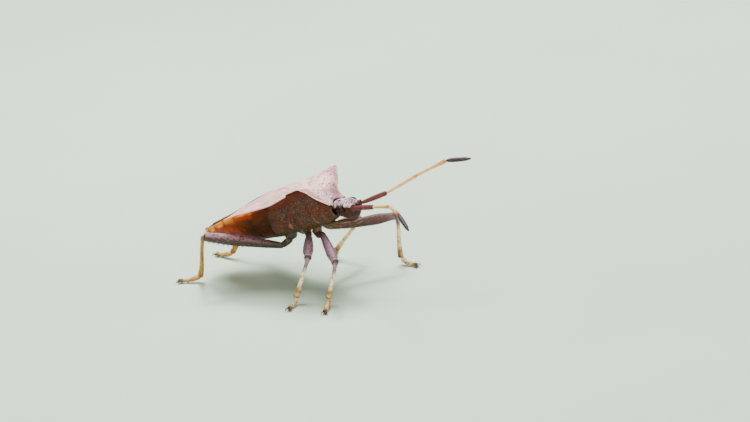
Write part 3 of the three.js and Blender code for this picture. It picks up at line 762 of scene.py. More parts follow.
WALKING_UNDER_SHADED = [
    (0, "#241608"), (0.1, "#30260a"), (0.15, "#4c2a08"), (0.2, "#6a3408"), (0.3, "#64321a"),
    (0.42, "#6a4440"), (0.468, "#7a5a60"), (0.486, "#241418"), (0.5, "#6a5458"), (0.555, "#5a4448"),
    (0.6, "#d8b880"), (0.7, "#dcbe84"), (0.745, "#6e4624"), (0.798, "#341c12"), (0.805, "#dcb880"),
    (0.88, "#6e4a28"), (0.9, "#d0a86c"), (1, "#2c1a10"),
]
HIND_TOP = [
    (0, "#2c1c0a"), (0.08, "#2a2008"), (0.1, "#302a0a"), (0.15, "#2c260c"), (0.2, "#3a2820"),
    (0.25, "#644048"), (0.34, "#865a68"), (0.44, "#966c7c"), (0.475, "#a67c88"), (0.487, "#4a2a24"),
    (0.5, "#6c4012"), (0.54, "#ba8e20"), (0.66, "#c89e2e"), (0.76, "#c29226"), (0.798, "#8c5a18"),
    (0.805, "#dcb264"), (0.88, "#cca24a"), (0.93, "#cca254"), (0.98, "#7c5824"), (1, "#30200e"),
]
HIND_UNDER_SHADED = [
    (0, "#1c1406"), (0.12, "#262008"), (0.18, "#14160a"), (0.3, "#1a140c"), (0.44, "#20120c"),
    (0.487, "#220e0a"), (0.52, "#94640c"), (0.76, "#a06c10"), (0.798, "#7a4408"), (0.81, "#b07c2c"),
    (0.95, "#94682a"), (1, "#30200e"),
]


def recoloured(stops, low, high, *thigh):
    """A limb's colours with other ones on its thigh, between two reaches."""
    return sorted([stop for stop in stops if not low < stop[0] < high] + list(thigh))


# The raised left fore leg has a browner thigh than the other walking legs
FORE_LEFT_TOP = recoloured(
    WALKING_TOP, 0.16, 0.482,
    (0.2, "#321400"), (0.28, "#381a06"), (0.36, "#46241e"), (0.42, "#54363c"), (0.475, "#6c525c"),
)
FORE_LEFT_UNDER_SHADED = recoloured(WALKING_UNDER_SHADED, 0.16, 0.46, (0.2, "#2e1200"), (0.3, "#2e1204"), (0.42, "#3a1e1e"))

BACK = back_cuticle()
FLANKS = side_cuticle()
BELLY = belly_cuticle()
FILM = membrane_film()
HEAD = head_cuticle()
EYE = eye_lens()
OCELLUS = ocellus_lens()
CLAW = claw_horn()
SETAE = pale_setae()
BEAK = limb_cuticle(
    "beak_cuticle", [(0, "#3a1c10"), (0.3, "#4c2a12"), (0.7, "#5a3c18"), (1, "#2a180c")],
    [(0, "#2e160c"), (1, "#2a180c")], "#2a1a10",
)
FEELER = limb_cuticle("feeler_cuticle", FEELER_STOPS, FEELER_STOPS, "#3a1010")
WALKING_SKIN = limb_cuticle("walking_leg_cuticle", WALKING_TOP, WALKING_UNDER_SHADED, "#38202a")
HIND_SKIN = limb_cuticle("hind_leg_cuticle", HIND_TOP, HIND_UNDER_SHADED, "#241010")
FORE_LEFT_SKIN = limb_cuticle("raised_leg_cuticle", FORE_LEFT_TOP, FORE_LEFT_UNDER_SHADED, "#38202a")
LEG_SKINS = {
    "front_right": WALKING_SKIN, "front_left": FORE_LEFT_SKIN, "mid_right": WALKING_SKIN,
    "mid_left": WALKING_SKIN, "hind_right": HIND_SKIN, "hind_left": HIND_SKIN,
}


# Geometry Nodes helpers
def new_tree(name, sizes):
    """A tree with named inputs for its sizes, and the sockets of those inputs."""
    tree = bpy.data.node_groups.new(name, "GeometryNodeTree")
    face = tree.interface
    face.new_socket("Geometry", in_out="INPUT", socket_type="NodeSocketGeometry")
    for label, kind in sizes.items():
        face.new_socket(label, in_out="INPUT", socket_type="NodeSocket" + kind)
    face.new_socket("Geometry", in_out="OUTPUT", socket_type="NodeSocketGeometry")
    return tree, node(tree, "NodeGroupInput").outputs


def close_tree(tree, geometry, material):
    real = node(tree, "GeometryNodeRealizeInstances", {0: geometry})
    finish = node(tree, "GeometryNodeSetMaterial", {"Geometry": real.outputs[0], "Material": material})
    node(tree, "NodeGroupOutput", {"Geometry": finish.outputs[0]})
    return tree


def grown(mesh, tree, sizes):
    """What the tree makes of a mesh, as a plain mesh of its own."""
    host = object_of(mesh, "host")
    grow = host.modifiers.new("grow", "NODES")
    grow.node_group = tree
    for socket in tree.interface.items_tree:
        if socket.in_out == "INPUT" and socket.name in sizes:
            grow[socket.identifier] = sizes[socket.name]
    host.update_tag()
    return evaluated(host)


# Pronotum: the shield behind the head, falling steeply to the collar, with drawn-out shoulders.
def pronotum():
    slope_top, slope_foot = 10.45, 11.1
    stops = [PRONOTUM_BACK, slope_top, slope_foot, COLLAR_FRONT]
    stations = np.interp(np.linspace(0, 1, 190), [0, 0.5, 0.82, 1], stops)
    station, share = np.meshgrid(stations, crowded(200, 0.35), indexing="ij")
    hollow = 0.28 * (1 - share**2) * ease(10.6, COLLAR_FRONT, station)
    narrowed = 1 - 0.14 * ease(11.55, COLLAR_FRONT, station)
    x, y = station - hollow, share * pronotum_edge(station) * narrowed
    z = pronotum_top(x, station, share)
    inward = (1 - np.abs(share)) * pronotum_edge(station)
    z = z + 0.05 * bump(inward, 0.05, 0.05) * ease(9.1, 9.5, station)
    for hand in HAND.values():
        callus = np.hypot((station - 11.22) / 0.17, (y - 0.42 * hand) / 0.26)
        z = z + 0.07 * np.exp(-(callus**2)) - 0.03 * bump(callus, 1.4, 0.25)
    swell = 0.05 * bump(station, 10.5, 0.14) * (1 - share**4)
    midline = 0.02 * bump(y, 0, 0.07) * ease(11.3, 10.9, station)
    collar, collar_groove = COLLAR_FRONT - 0.09, COLLAR_FRONT - 0.26
    z = z + swell - midline + 0.05 * bump(station, collar, 0.06) - 0.04 * bump(station, collar_groove, 0.05)
    along = (station - PRONOTUM_BACK) / (COLLAR_FRONT - PRONOTUM_BACK) * 2 - 1
    half = 0.07 * (1 - 0.35 * np.abs(share) ** 3) * np.minimum(rounded(share, 60), rounded(along, 70))
    thickness = 0.12 * (1 - share**8)
    mesh = mesh_of("pronotum_shell", plate(x, y, z + half, z - thickness - half))
    px, py, _ = coordinates(mesh).T
    facing = normals(mesh)[:, 2]
    outward = np.abs(py)
    edge = pronotum_edge(px) - outward
    add_masks(
        mesh,
        under=ease(0.1, -0.2, facing),
        front=ease(10.5, 11.5, px + 0.25 * bump(outward, 1.2, 0.5)),
        horn=bump(px, HORNS, 0.42) * ease(0.8, 1.8, outward),
        # the whole pronotum, where the back's material paints a peach highlight
        disc=np.ones(len(px)),
        margin=0.9 * np.maximum(bump(edge, 0.03, 0.045), bump(px, COLLAR_FRONT, 0.03)),
    )
    fading = ease(-0.2, 0.2, facing) * (0.65 + 0.35 * ease(10.0, 11.2, px))
    pit(mesh, spacing=0.17, radius=0.06, depth=0.035, seed=3, share=fading)
    return on_trunk(mesh, BACK, "back_shell", "pronotum")


# Scutellum: the triangle between the wings' roots.
def scutellum():
    stations = np.linspace(SCUTELLUM_TIP - 0.08, PRONOTUM_BACK + 0.1, 90)
    x, share = np.meshgrid(stations, crowded(90, 0.4), indexing="ij")
    y = share * (scutellum_side(x) + 0.1) * ease(SCUTELLUM_TIP - 0.12, SCUTELLUM_TIP + 0.1, x)
    swell = 0.06 * (1 - share**2) * ease(7.2, 8.4, x)
    half = 0.06 * np.minimum(rounded(share, 14), rounded(end_to_end(x), 30))
    level = wing_top(x, y) + swell + 0.01
    mesh = mesh_of("scutellum_shell", plate(x, y, level + half, level - 0.08 - half))
    up = normals(mesh)[:, 2]
    add_masks(mesh, under=ease(0.15, -0.15, up))
    pit(mesh, spacing=0.16, radius=0.045, depth=0.028, seed=5, share=0.7 * ease(0, 0.3, up))
    return on_trunk(mesh, BACK, "back_shell", "scutellum")


# Corium: the leathery front part of each forewing, with raised veins and the furrow of its inner
# field. The left one laps a little over the right one.
def corium(side):
    hand = HAND[side]
    stations = np.linspace(CORIUM_TIP - 0.1, PRONOTUM_BACK + 0.12, 230)
    x, share = np.meshgrid(stations, (crowded(110, 0.4) + 1) / 2, indexing="ij")
    past_midline = {"left": -0.04, "right": 0.005}[side]
    beside_scutellum = np.interp(x, [SCUTELLUM_TIP - 0.1, PRONOTUM_BACK - 0.2], [-0.05, 0.9])
    inner = np.maximum.reduce([past_midline + 0 * x, corium_hind(x) - 0.06, beside_scutellum])
    outer = wing_half(x)
    y = inner + (outer - inner) * share
    furrow = inner + 0.42 * ease(5.6, 8.2, x)
    outer_vein = np.interp(x, [4.3, 6.5, 8.8], [1.66, 1.72, 1.5])
    inner_vein = np.interp(x, [4.5, 6.5, 8.8], [1.12, 1.22, 1.2])
    cross_vein = bump(x - 0.5 * (y - 1.12), 4.5, 0.05) * ease(1.0, 1.15, y) * ease(1.75, 1.6, y)
    ridge = np.maximum.reduce([
        bump(y, outer_vein, 0.05) * ease(4.1, 4.5, x),
        bump(y, inner_vein, 0.045) * ease(4.3, 4.7, x),
        0.8 * cross_vein,
        0.9 * bump(outer - y, 0.06, 0.05),
    ])
    groove = bump(y, furrow, 0.03) * ease(5.6, 5.9, x)
    half = 0.05 * np.minimum(rounded(share * 2 - 1, 40), rounded(end_to_end(x), 90))
    lapped = 0.012 * hand * ease(0.25, 0.05, y)
    level = wing_top(x, y) + 0.045 * ridge - 0.035 * groove - 0.03 + lapped
    lip = 0.8 * bump(outer - y, 0.03, 0.04)
    grids = [x, y * hand, level + half, level - 0.05 - half, ridge, groove, lip]
    if side == "right":
        grids = [grid[:, ::-1] for grid in grids]
    *shape, ridge, groove, lip = grids
    mesh = mesh_of(f"corium_{side}", plate(*shape))
    up = normals(mesh)[:, 2]
    raised = np.tile(ridge.ravel(), 2)
    add_masks(
        mesh,
        under=ease(0.15, -0.15, up),
        groove=np.tile(0.5 * groove.ravel(), 2),
        vein=raised,
        margin=np.tile(lip.ravel(), 2),
    )
    fading = 0.7 * ease(0, 0.3, up) * (1 - 0.8 * raised)
    pit(mesh, spacing=0.15, radius=0.042, depth=0.022, seed=7 + hand, share=fading)
    return on_trunk(mesh, BACK, "back_shell", f"forewing_{side}")


# Membrane: the thin hind part of the wings, the left over the right, with veins that leave a
# cross vein near the corium and curve to the wings' tips.
def membrane():
    veins, beside_corium = 8, 0.12
    stations = np.linspace(0.02, CORIUM_CORNER + 0.2, 200)
    x, share = np.meshgrid(stations, crowded(220, 0.3), indexing="ij")
    y = share * np.minimum(wing_half(x), corium_hind(x) + beside_corium)
    seam = -0.75 * ease(5.2, 1.5, x)
    overlap = y - seam
    reach = np.where(overlap > 0, wing_half(x) - seam, wing_half(x) + seam)
    fan = np.abs(overlap) / reach
    vein = np.abs(np.cos(fan**0.9 * math.pi * veins)) ** 30 * ease(0.0, 0.5, x) * ease(1, 0.97, fan)
    behind_corium = corium_hind(x) - np.abs(y)
    cross = bump(behind_corium, 0.3 + 0.04 * np.sin(4 * x), 0.03)
    vein = np.maximum(vein * ease(0.26, 0.34, behind_corium), cross)
    half = 0.03 * np.minimum(rounded(share, 40), rounded(end_to_end(x), 50))
    tucked = 0.06 + 0.05 * ease(0.25, 0, corium_hind(x) + beside_corium - np.abs(y))
    level = wing_top(x, y) - tucked + 0.022 * vein + 0.02 * ease(-0.02, 0.02, overlap)
    mesh = mesh_of("wing_film", plate(x, y, level + half, level - 0.04 - half))
    add_masks(mesh, vein=np.tile(vein.ravel(), 2))
    return on_trunk(mesh, FILM, "membrane", "wing_membrane")


def ring_line(x, share, width):
    """The curved grooves between the rings of the belly."""
    bent = x + 0.22 * (1 - share**2) - 0.1
    return bump(np.abs(bent[..., None] - RING_JOINTS).min(axis=-1), 0, width)


# Abdomen: keeled belly in rings, a back hidden by the wings and a rim of plates that turns up.
def abdomen():
    stations = np.linspace(ABDOMEN_TIP - 0.02, 7.45, 260)
    x, share = np.meshgrid(stations, crowded(170, 0.55), indexing="ij")
    notch = bump(np.abs(x[..., None] - RING_JOINTS).min(axis=-1), 0, 0.05)
    tip = np.sqrt(np.clip((x - x.min()) / 0.25, 0, 1))
    edge = (abdomen_edge(x) - 0.05 * notch) * (0.15 + 0.85 * tip)
    y = share * edge
    rim = rim_line(x)
    beside = edge - np.abs(y)
    wing_floor = wing_top(x, y) - 0.16
    cover = ease(0.02, -0.08, np.abs(y) - wing_half(x))
    top = (rim - 0.1 * beside) * (1 - cover) + np.minimum(wing_floor, rim + 0.6) * cover
    top = np.where(np.abs(y) < wing_half(x) + 0.05, np.minimum(top, wing_floor + 0.06), top)
    under_share = np.clip(1 - np.abs(share) ** 2.1, 0, 1) ** 0.75
    keel = belly(x) - 0.2 * bump(x, 6.4, 1.3) - 0.12 * bump(x, 4.95, 0.7)
    bottom = (rim - 0.12) + (keel - (rim - 0.12)) * under_share
    bottom = bottom + 0.035 * ring_line(x, share, 0.035) * (1 - np.abs(share) ** 12)
    rolled = bump(beside, 0.5, 0.04) * (under_share > 0.1)
    bottom = bottom + 0.02 * rolled
    top = top - 0.02 * notch * (beside < 0.5)
    ends = rounded(end_to_end(x), 120) * rounded(share, 70)
    middle = (np.maximum(top, bottom + 0.02) + bottom) / 2
    half = (np.maximum(top, bottom + 0.02) - bottom) / 2 * ends
    mesh = mesh_of("abdomen_shell", plate(x, y, middle + half, middle - half))

    px, py, pz = coordinates(mesh).T
    outer = np.abs(py) / abdomen_edge(px)
    ring = (px - RING_JOINTS[0]) / (RING_JOINTS[1] - RING_JOINTS[0])
    part = ring - np.floor(ring)
    below = rim_line(px) - pz
    on_rim = ease(0.78, 0.9, outer)
    open_rim = (np.abs(py) > wing_half(px) + 0.03) * ease(6.3, 5.8, px)
    band = ease(0.2, 0.34, part) * ease(0.95, 0.8, part)
    spot = np.exp(-(((part - 0.55) / 0.3) ** 4) - ((below - 0.28) / 0.1) ** 4) * ease(0.7, 0.82, outer)
    spot = np.maximum(spot * ease(3.9, 3.4, px), 0.3 * band * on_rim * (below < 0.07) * open_rim)
    breath = np.zeros(len(px))
    for joint in RING_JOINTS[1:]:
        hole = ((px - joint + 0.55) / 0.05) ** 2 + ((outer - 0.86) / 0.025) ** 2
        breath = np.maximum(breath, np.exp(-hole))
    add_masks(
        mesh,
        orange=spot,
        edge=bump(outer, 1, 0.02) * ease(5.2, 3.7, px),
        rim=on_rim * ease(0.5, 0.2, below) * 0.65 * open_rim,
        rust=0.85 * ease(4.6, 6.2, px) * ease(0.75, 0.1, below),
        front=ease(3.6, 6.2, px + 0.5 * below),
        groove=ring_line(px, np.clip(outer, 0, 1), 0.03) * (below > 0.05),
        spiracle=breath * (below > 0.2),
    )
    return on_trunk(mesh, BELLY, "belly_shell", "abdomen")


def thorax_ring(x, points_a_side=130, roof_points=20):
    """A ring of the thorax: down the left flank, up the right one and back under the shields."""
    under_wings = float(ease(9.12, 8.98, x))
    shield = max(x, 9.12)
    rim_y = under_wings * (wing_half(x) - 0.05) + (1 - under_wings) * (pronotum_edge(shield) - 0.05)
    rim_z = under_wings * (back_edge(x) - 0.1) + (1 - under_wings) * (pronotum_rim(shield) - 0.1)
    side, low = float(flank(x)), float(sternum(x)) - 0.12 * bump(x, 7.0, 0.6)
    drop = min(0.34, 0.3 * (rim_z - low))
    knots = [0, 0.1, 0.26, 0.5, 0.78, 1]
    ys = [rim_y, side + 0.35 * (rim_y - side), side * 1.02, side * 0.98, side * 0.62, 0]
    zs = [rim_z, rim_z - drop, rim_z * 0.45 + low * 0.1, low * 0.5, low + 0.14, low]
    zs[2] = min(zs[2], zs[1] - 0.1)
    tuck = float(0.9 + 0.1 * np.sqrt(np.clip((x - 7.0) / 0.2, 0, 1)))
    ys = [value * tuck for value in ys]
    zs = [rim_z + (value - rim_z) * tuck for value in zs]
    v = np.linspace(0, 1, points_a_side)
    ys, zs = smooth_curve(*zip(knots, ys))(v), smooth_curve(*zip(knots, zs))(v)
    roof = np.linspace(-1, 1, roof_points + 2)[1:-1]
    if x < 9.05:
        roof_z = wing_top(x, roof * rim_y) - 0.14
    else:
        roof_z = pronotum_top(x, x, roof) - 0.24
    across = np.concatenate([ys, -ys[-2::-1], roof * rim_y])
    height = np.concatenate([zs, zs[-2::-1], np.minimum(roof_z, rim_z + 0.5)])
    return np.stack([np.full(len(across), x), across, height], -1)


# Thorax: the flanks and breast below the shields, with their seams and the scent gland's lip.
def thorax():
    mesh = mesh_of("thorax_shell", loft([thorax_ring(x) for x in np.linspace(7.02, 11.66, 230)]))
    points = coordinates(mesh)
    px, py, pz = points.T
    front_seam = np.interp(pz, [-1.5, -1.18, -0.56, 0.2, 1.2], [10.86, 10.71, 10.42, 10.28, 10.2])
    back_seam = np.interp(pz, [-1.5, -0.9, 0.0, 1.0], [8.6, 8.78, 8.82, 9.0])
    upper_seam = np.interp(px, [7.0, 9.0, 10.3], [0.42, 0.85, 0.95])
    sway = 0.035 * np.sin(pz * 9) + 0.02 * np.sin(pz * 23 + 1)
    front_seam, back_seam = front_seam + sway * 0.5, back_seam - sway
    groove = np.maximum(0.8 * bump(px, back_seam, 0.04), 0.8 * bump(px, front_seam - 0.02, 0.035))
    groove = np.maximum(groove, 0.6 * bump(px, 7.28, 0.04)) * ease(0.9, -0.2, pz)
    groove = np.maximum(groove, 0.5 * bump(pz, upper_seam, 0.03) * ease(10.4, 10.2, px))
    groove = np.maximum(groove, 0.9 * bump(py, 0, 0.12) * (pz < -1))
    ear = np.exp(-(((px - 8.62) / 0.1) ** 2) - ((pz + 0.78) / 0.15) ** 2)
    ear_hole = np.exp(-(((px - 8.61) / 0.045) ** 2) - ((pz + 0.79) / 0.08) ** 2)
    swell = 0.05 * bump(px, 9.6, 0.5) * bump(pz, -0.3, 0.7)
    swell = swell + 0.04 * bump(px, 11.0, 0.35) * bump(pz, -0.5, 0.5)
    for (hip_x, hip_y, _), *_ in HIPS.values():
        swell = swell + 0.06 * bump(np.hypot(px - hip_x, np.abs(py) - hip_y), 0.44, 0.09) * (pz < -0.9)
    collar = bump(px, 11.6, 0.06)
    swell = swell + 0.015 * collar
    lobe = 0.07 * ease(front_seam - 0.01, front_seam + 0.06, px)
    rim = np.where(px < 9.05, back_edge(px), pronotum_rim(px))
    quiet = ease(0.05, 0.35, rim - pz)
    relief = quiet * (lobe + swell - 0.045 * groove) + 0.09 * ear - 0.1 * ear_hole
    put(mesh, points + normals(mesh) * relief[:, None])
    hip_spot = np.exp(-(((px - 10.18) / 0.09) ** 2) - ((np.abs(py) - 0.95) / 0.09) ** 2) * (pz < -1)
    suture = 0.26 * bump(px, front_seam + 0.05, 0.025) * ease(-0.3, -0.6, pz) * ease(-1.1, -0.95, pz)
    add_masks(
        mesh,
        rust=ease(0.85, 0.3, rim - pz) * ease(11.5, 10.9, px),
        olive=0.7 * ease(-0.75, -1.3, pz),
        ear=np.clip(ear - 1.4 * ear_hole, 0, 1),
        pale=np.maximum.reduce([hip_spot, suture, 0.05 * collar]),
        # past 11.63 mm the front cap is marked too, as painted shadow where the head meets it
        groove=np.clip(groove + ear_hole + ease(11.63, 11.66, px), 0, 1),
        waist=0.75 * ease(8.1, 7.1, px) * ease(0.75, 0.2, pz),
    )
    fading = (1 - 0.8 * np.clip(ear, 0, 1)) * (0.3 + 0.7 * quiet) * ease(11.64, 11.54, px)
    pit(mesh, spacing=0.15, radius=0.045, depth=0.04, seed=11, share=fading)
    return on_trunk(mesh, FLANKS, "side_shell", "metathorax", "mesothorax", "prothorax")


def boxy(value):
    """A sine or cosine bent so that the circle it draws has flatter sides."""
    return np.sign(value) * np.abs(value) ** 0.8


# Head: a short box with the antenna knobs at its front, ridges between them and cheeks below.
def head():
    around = 72
    angle = np.linspace(0, 2 * math.pi, around, endpoint=False)
    rings = []
    for x in np.linspace(HEAD_BACK, HEAD_FRONT, 70):
        level, tall = (head_top(x) + head_low(x)) / 2, (head_top(x) - head_low(x)) / 2
        across, height = head_half(x) * boxy(np.cos(angle)), level + tall * boxy(np.sin(angle))
        rings.append(np.stack([np.full(around, x), across, height], -1))
    bodies = [loft(rings)]

    def lump(start, end, girth, count, end_share, sides, bow=(0, 0, 0)):
        """A rounded rod sunk into the head, which the remeshing makes one with it."""
        t, radius = capped(girth, count, end_share)
        bodies.append(tube(straight(start, end, len(t), bow), radius, sides))

    knob = ([0, 0.6, 0.85, 1], [0.24, 0.23, 0.25, 0.2])
    spine = ([0, 1], [0.12, 0.03])
    cheek = ([0, 0.5, 1], [0.1, 0.13, 0.1])
    eye_seat = ([0, 0.5, 1], [0.26, 0.33, 0.26])
    brow = ([0, 0.6, 1], [0.1, 0.13, 0.07])
    for hand in HAND.values():
        mirror = np.array([1, hand, 1])
        lump(KNOB_ROOT * mirror, KNOB_END * mirror, knob, 16, 0.12, 28)
        lump([12.95, 0.3, -0.3] * mirror, [13.3, 0.25, -0.22] * mirror, spine, 10, 0.1, 16)
        lump([12.3, 0.2, -1.2] * mirror, [13.05, 0.16, -1.2] * mirror, cheek, 14, 0.1, 16)
        lump([12.0, 0.5, -0.42] * mirror, [12.5, 0.52, -0.42] * mirror, eye_seat, 14, 0.3, 24)
    lump([12.5, 0, -0.05], [13.26, 0, -0.42], brow, 16, 0.1, 18, (0.08, 0, 0.12))
    mesh = remeshed("head_shell", bodies, HEAD_VOXEL, 5)
    px, py, pz = coordinates(mesh).T
    facing = normals(mesh)[:, 2]
    # painted shade: the head's sides go dark low down, and more so where they face away from the sky
    painted_shade_side = ease(-0.22, -0.36, pz) * ease(0.75, 0.35, facing) + ease(-0.4, -0.55, pz)
    add_masks(
        mesh,
        side=np.clip(painted_shade_side, 0, 1),
        knob=ease(13.05, 13.2, px) * ease(-0.8, -0.6, pz) * ease(0.2, 0.3, np.abs(py)),
    )
    pit(mesh, spacing=0.14, radius=0.045, depth=0.03, seed=13)
    return on_trunk(mesh, HEAD, "head_shell", "head")


# Compound eyes: domes of six-sided facets, made from the rule by which a ball of triangles turns
# into a ball of hexagons.
def facet_tree(material):
    tree, given = new_tree("facets", {"Rounds": "Int", "Height": "Float", "Lens Share": "Float"})
    ball = node(tree, "GeometryNodeMeshIcoSphere", {"Radius": 1.0, "Subdivisions": given["Rounds"]})
    cells = node(tree, "GeometryNodeDualMesh", {0: ball.outputs["Mesh"]})
    raised = node(tree, "GeometryNodeExtrudeMesh", {
        "Mesh": cells.outputs[0], "Offset Scale": given["Height"], "Individual": True})
    lens = raised.outputs["Top"]
    lenses = node(tree, "GeometryNodeScaleElements", {
        "Geometry": raised.outputs["Mesh"], "Selection": lens, "Scale": given["Lens Share"]})
    marked = node(tree, "GeometryNodeStoreNamedAttribute", {
        "Geometry": lenses.outputs[0], "Name": "facet", "Value": lens}, data_type="FLOAT", domain="FACE")
    return close_tree(tree, marked.outputs[0], material)


def compound_eye(side, tree):
    name = f"compound_eye_{side}"
    mesh = grown(bpy.data.meshes.new(name), tree, {"Rounds": 5, "Height": 0.008, "Lens Share": 0.78})
    mesh.name = name
    put(mesh, coordinates(mesh) * EYE_RADII + EYE_MIDDLE * [1, HAND[side], 1])
    return on_trunk(mesh, EYE, "eye", f"eye_{side}")


# Simple eyes: two beads on the top of the head.
def ocelli():
    up = np.linspace(0, math.pi, 30)[1:-1][:, None]
    turn = np.linspace(0, 2 * math.pi, 40, endpoint=False)
    ball = np.stack([np.cos(up) + 0 * turn, np.sin(up) * np.cos(turn), np.sin(up) * np.sin(turn)], -1)
    x, y, z = OCELLUS_PLACE
    beads = [loft(ball * OCELLUS_RADIUS + [x, y * hand, z]) for hand in HAND.values()]
    return on_trunk(mesh_of("ocelli", together(beads)), OCELLUS, "eye")


# Beak: four joints folded back under the head and breast.
def beak():
    count, sides = 120, 20
    path = smooth_path([
        [12.92, 0, -1.05], [12.86, 0, -1.3], [12.6, 0, -1.4], [11.7, 0, -1.42], [10.94, 0, -1.46],
        [10.2, 0, -1.52], [9.3, 0, -1.56],
    ], count)
    along = np.linspace(0, 1, count)
    radius = np.interp(along, [0, 0.1, 0.6, 0.95, 1], [0.1, 0.125, 0.105, 0.07, 0.02])
    for joint in (0.27, 0.52, 0.76):
        radius = radius * (1 - 0.22 * bump(along, joint, 0.012))
    mesh = mesh_of("beak", tube(path, radius, sides))
    add_masks(mesh, reach=np.concatenate([np.repeat(along, sides), [0, 1]]))
    return on_trunk(mesh, BEAK, "head_shell", "rostrum")


class Limb:
    """A jointed limb that becomes one skin, which keeps how far along it each point lies."""

    def __init__(self):
        self.bodies, self.rows = [], []

    def add(self, path, radii, reach, speckled, back=(0, 0, 1), sides=24, flatten=1.0):
        path = np.asarray(path, float)
        count = len(path)
        along = np.linspace(*reach, count)
        rows = np.column_stack([along, np.full(count, speckled), directions(path), np.tile(back, (count, 1))])
        self.bodies.append(tube(path, radii, sides, flatten, back))
        self.rows.append(np.concatenate([np.repeat(rows, sides, axis=0), rows[[0, -1]]]))

    def add_tooth(self, root, tip, thickness, like):
        """A small tooth that takes its colours from the joint added as number like."""
        count = 8
        tooth = tube(np.linspace(root, tip, count), np.linspace(thickness, 0.25 * thickness, count), 10)
        self.bodies.append(tooth)
        self.rows.append(np.tile(self.rows[like][len(self.rows[like]) // 2], (len(tooth[0]), 1)))

    def skin(self, name, shade):
        mesh = remeshed(name, self.bodies, LIMB_VOXEL, 2)
        tree = tree_of(np.concatenate([points for points, _ in self.bodies]))
        kept = np.concatenate(self.rows)[[tree.find(point)[1] for point in coordinates(mesh)]]
        facing = normals(mesh)
        along, back = kept[:, 2:5], kept[:, 5:8]
        outward = np.sum(facing * back, axis=1)
        aside = np.sum(facing * np.cross(along, back), axis=1)
        add_masks(
            mesh,
            reach=kept[:, 0],
            speckled=kept[:, 1],
            under=ease(*shade, outward),
            round=np.arctan2(aside, outward) / (2 * math.pi) + 0.5,
        )
        layer = mesh.attributes.new("lie", "FLOAT_VECTOR", "POINT")
        layer.data.foreach_set("vector", along.astype(np.float32).ravel())
        return mesh


def upright(axis, away):
    """The direction square to an axis that points away from another direction."""
    axis = axis / np.linalg.norm(axis)
    square = -(away - axis * np.dot(away, axis))
    return square / np.linalg.norm(square)


def add_foot(limb, ankle, toe):
    """Three joints from the ankle, the last of them short of the toe by the claws' length."""
    level = (toe - ankle) * [1, 1, 0]
    joints = [0.02, 0.46, 0.6, 1 - 0.26 / np.linalg.norm(level)]
    ends = [ankle * [1, 1, 0] + level * at + [0, 0, height] for at, height in zip(joints, FOOT_HEIGHTS)]
    for start, end, girth, reach in zip(ends, ends[1:], FOOT_GIRTHS, FOOT):
        t, radius = capped(girth, 26, 0.08)
        path = start + (end - start) * t[:, None]
        path[:, 2] = np.maximum(path[:, 2], radius + 0.005)
        limb.add(path, radius, reach, 0.8, sides=20)


# Legs, joint by joint. Hips are in the trunk frame, the rest stands over the floor.
def leg(name):
    pair, side = name.split("_")
    hind = pair == "hind"
    mirror = np.array([1, HAND[side], 1])
    root, bend, out = (over_floor(np.array(point) * mirror) for point in HIPS[pair])
    out = out + HIP_SAG.get(name, 0)
    knee, ankle, toe = (np.array(point) + SHIFT for point in LEGS[name])
    thigh, shin = knee - out, ankle - knee
    shin_back = upright(shin, -thigh)
    thigh_back = upright(thigh, np.array([0, 0, -1]) if hind else shin)
    limb = Limb()
    t, radius = capped(HIND_COXA_GIRTH if hind else COXA_GIRTH, 26, 0.12)
    limb.add(straight(root, bend + (bend - root) * 0.12, len(t)), radius, COXA, 0.3, thigh_back)
    t, radius = capped(TROCHANTER_GIRTH, 22, 0.15)
    path = straight(bend - (out - bend) * 0.2, out + (out - bend) * 0.12, len(t))
    limb.add(path, radius, TROCHANTER, 0.3, thigh_back)
    t, radius = capped(THIGH_GIRTH[pair], 90, 0.02)
    start = out - thigh / np.linalg.norm(thigh) * 0.1
    limb.add(start + (knee - start) * t[:, None], radius, FEMUR, 0.9, thigh_back, 32, 0.86)
    if hind:
        girth_at = smooth_curve(*zip(*THIGH_GIRTH[pair]))
        for share in np.linspace(0.5, 0.92, 8):
            place, girth = out + thigh * share, float(girth_at(share))
            tip = place - thigh_back * (girth + TOOTH_HEIGHT) + thigh * 0.004
            limb.add_tooth(place - thigh_back * girth * 0.8, tip, TOOTH_THICKNESS, like=2)
    t, radius = capped(SHIN_GIRTH, 90, 0.02)
    bow = np.outer(np.sin(2 * math.pi * t), shin_back * 0.03)
    limb.add(knee + shin * t[:, None] + bow, radius, TIBIA, 0.6, shin_back)
    add_foot(limb, ankle, toe)
    skin = limb.skin(f"leg_{name}", HIND_PAINTED_SHADE if hind else LIMB_PAINTED_SHADE)
    nodes = [f"{part}_{name}" for part in ("coxa", "femur", "tibia", "tarsus")]
    return on_floor(skin, LEG_SKINS[name], "hind_thigh" if hind else "thigh", *nodes)


# Claws: two on each foot, with a pad under each.
def claws():
    bodies = []
    for _, ankle, toe in LEGS.values():
        ankle, toe = np.array(ankle) + SHIFT, np.array(toe) + SHIFT
        ahead = (toe - ankle) * [1, 1, 0]
        ahead /= np.linalg.norm(ahead)
        aside = np.array([-ahead[1], ahead[0], 0])
        root = toe - ahead * 0.3 + [0, 0, 0.19]
        for hand in HAND.values():
            way = np.array([ahead, aside * hand, [0, 0, 1]])
            for turns, count, girth in (CLAW_ROD, PAD_ROD):
                path = smooth_path(root + np.array(turns) @ way, count)
                bodies.append(tube(path, np.interp(np.linspace(0, 1, count), *girth), 10))
    return on_floor(mesh_of("claws", together(bodies)), CLAW, "foot")


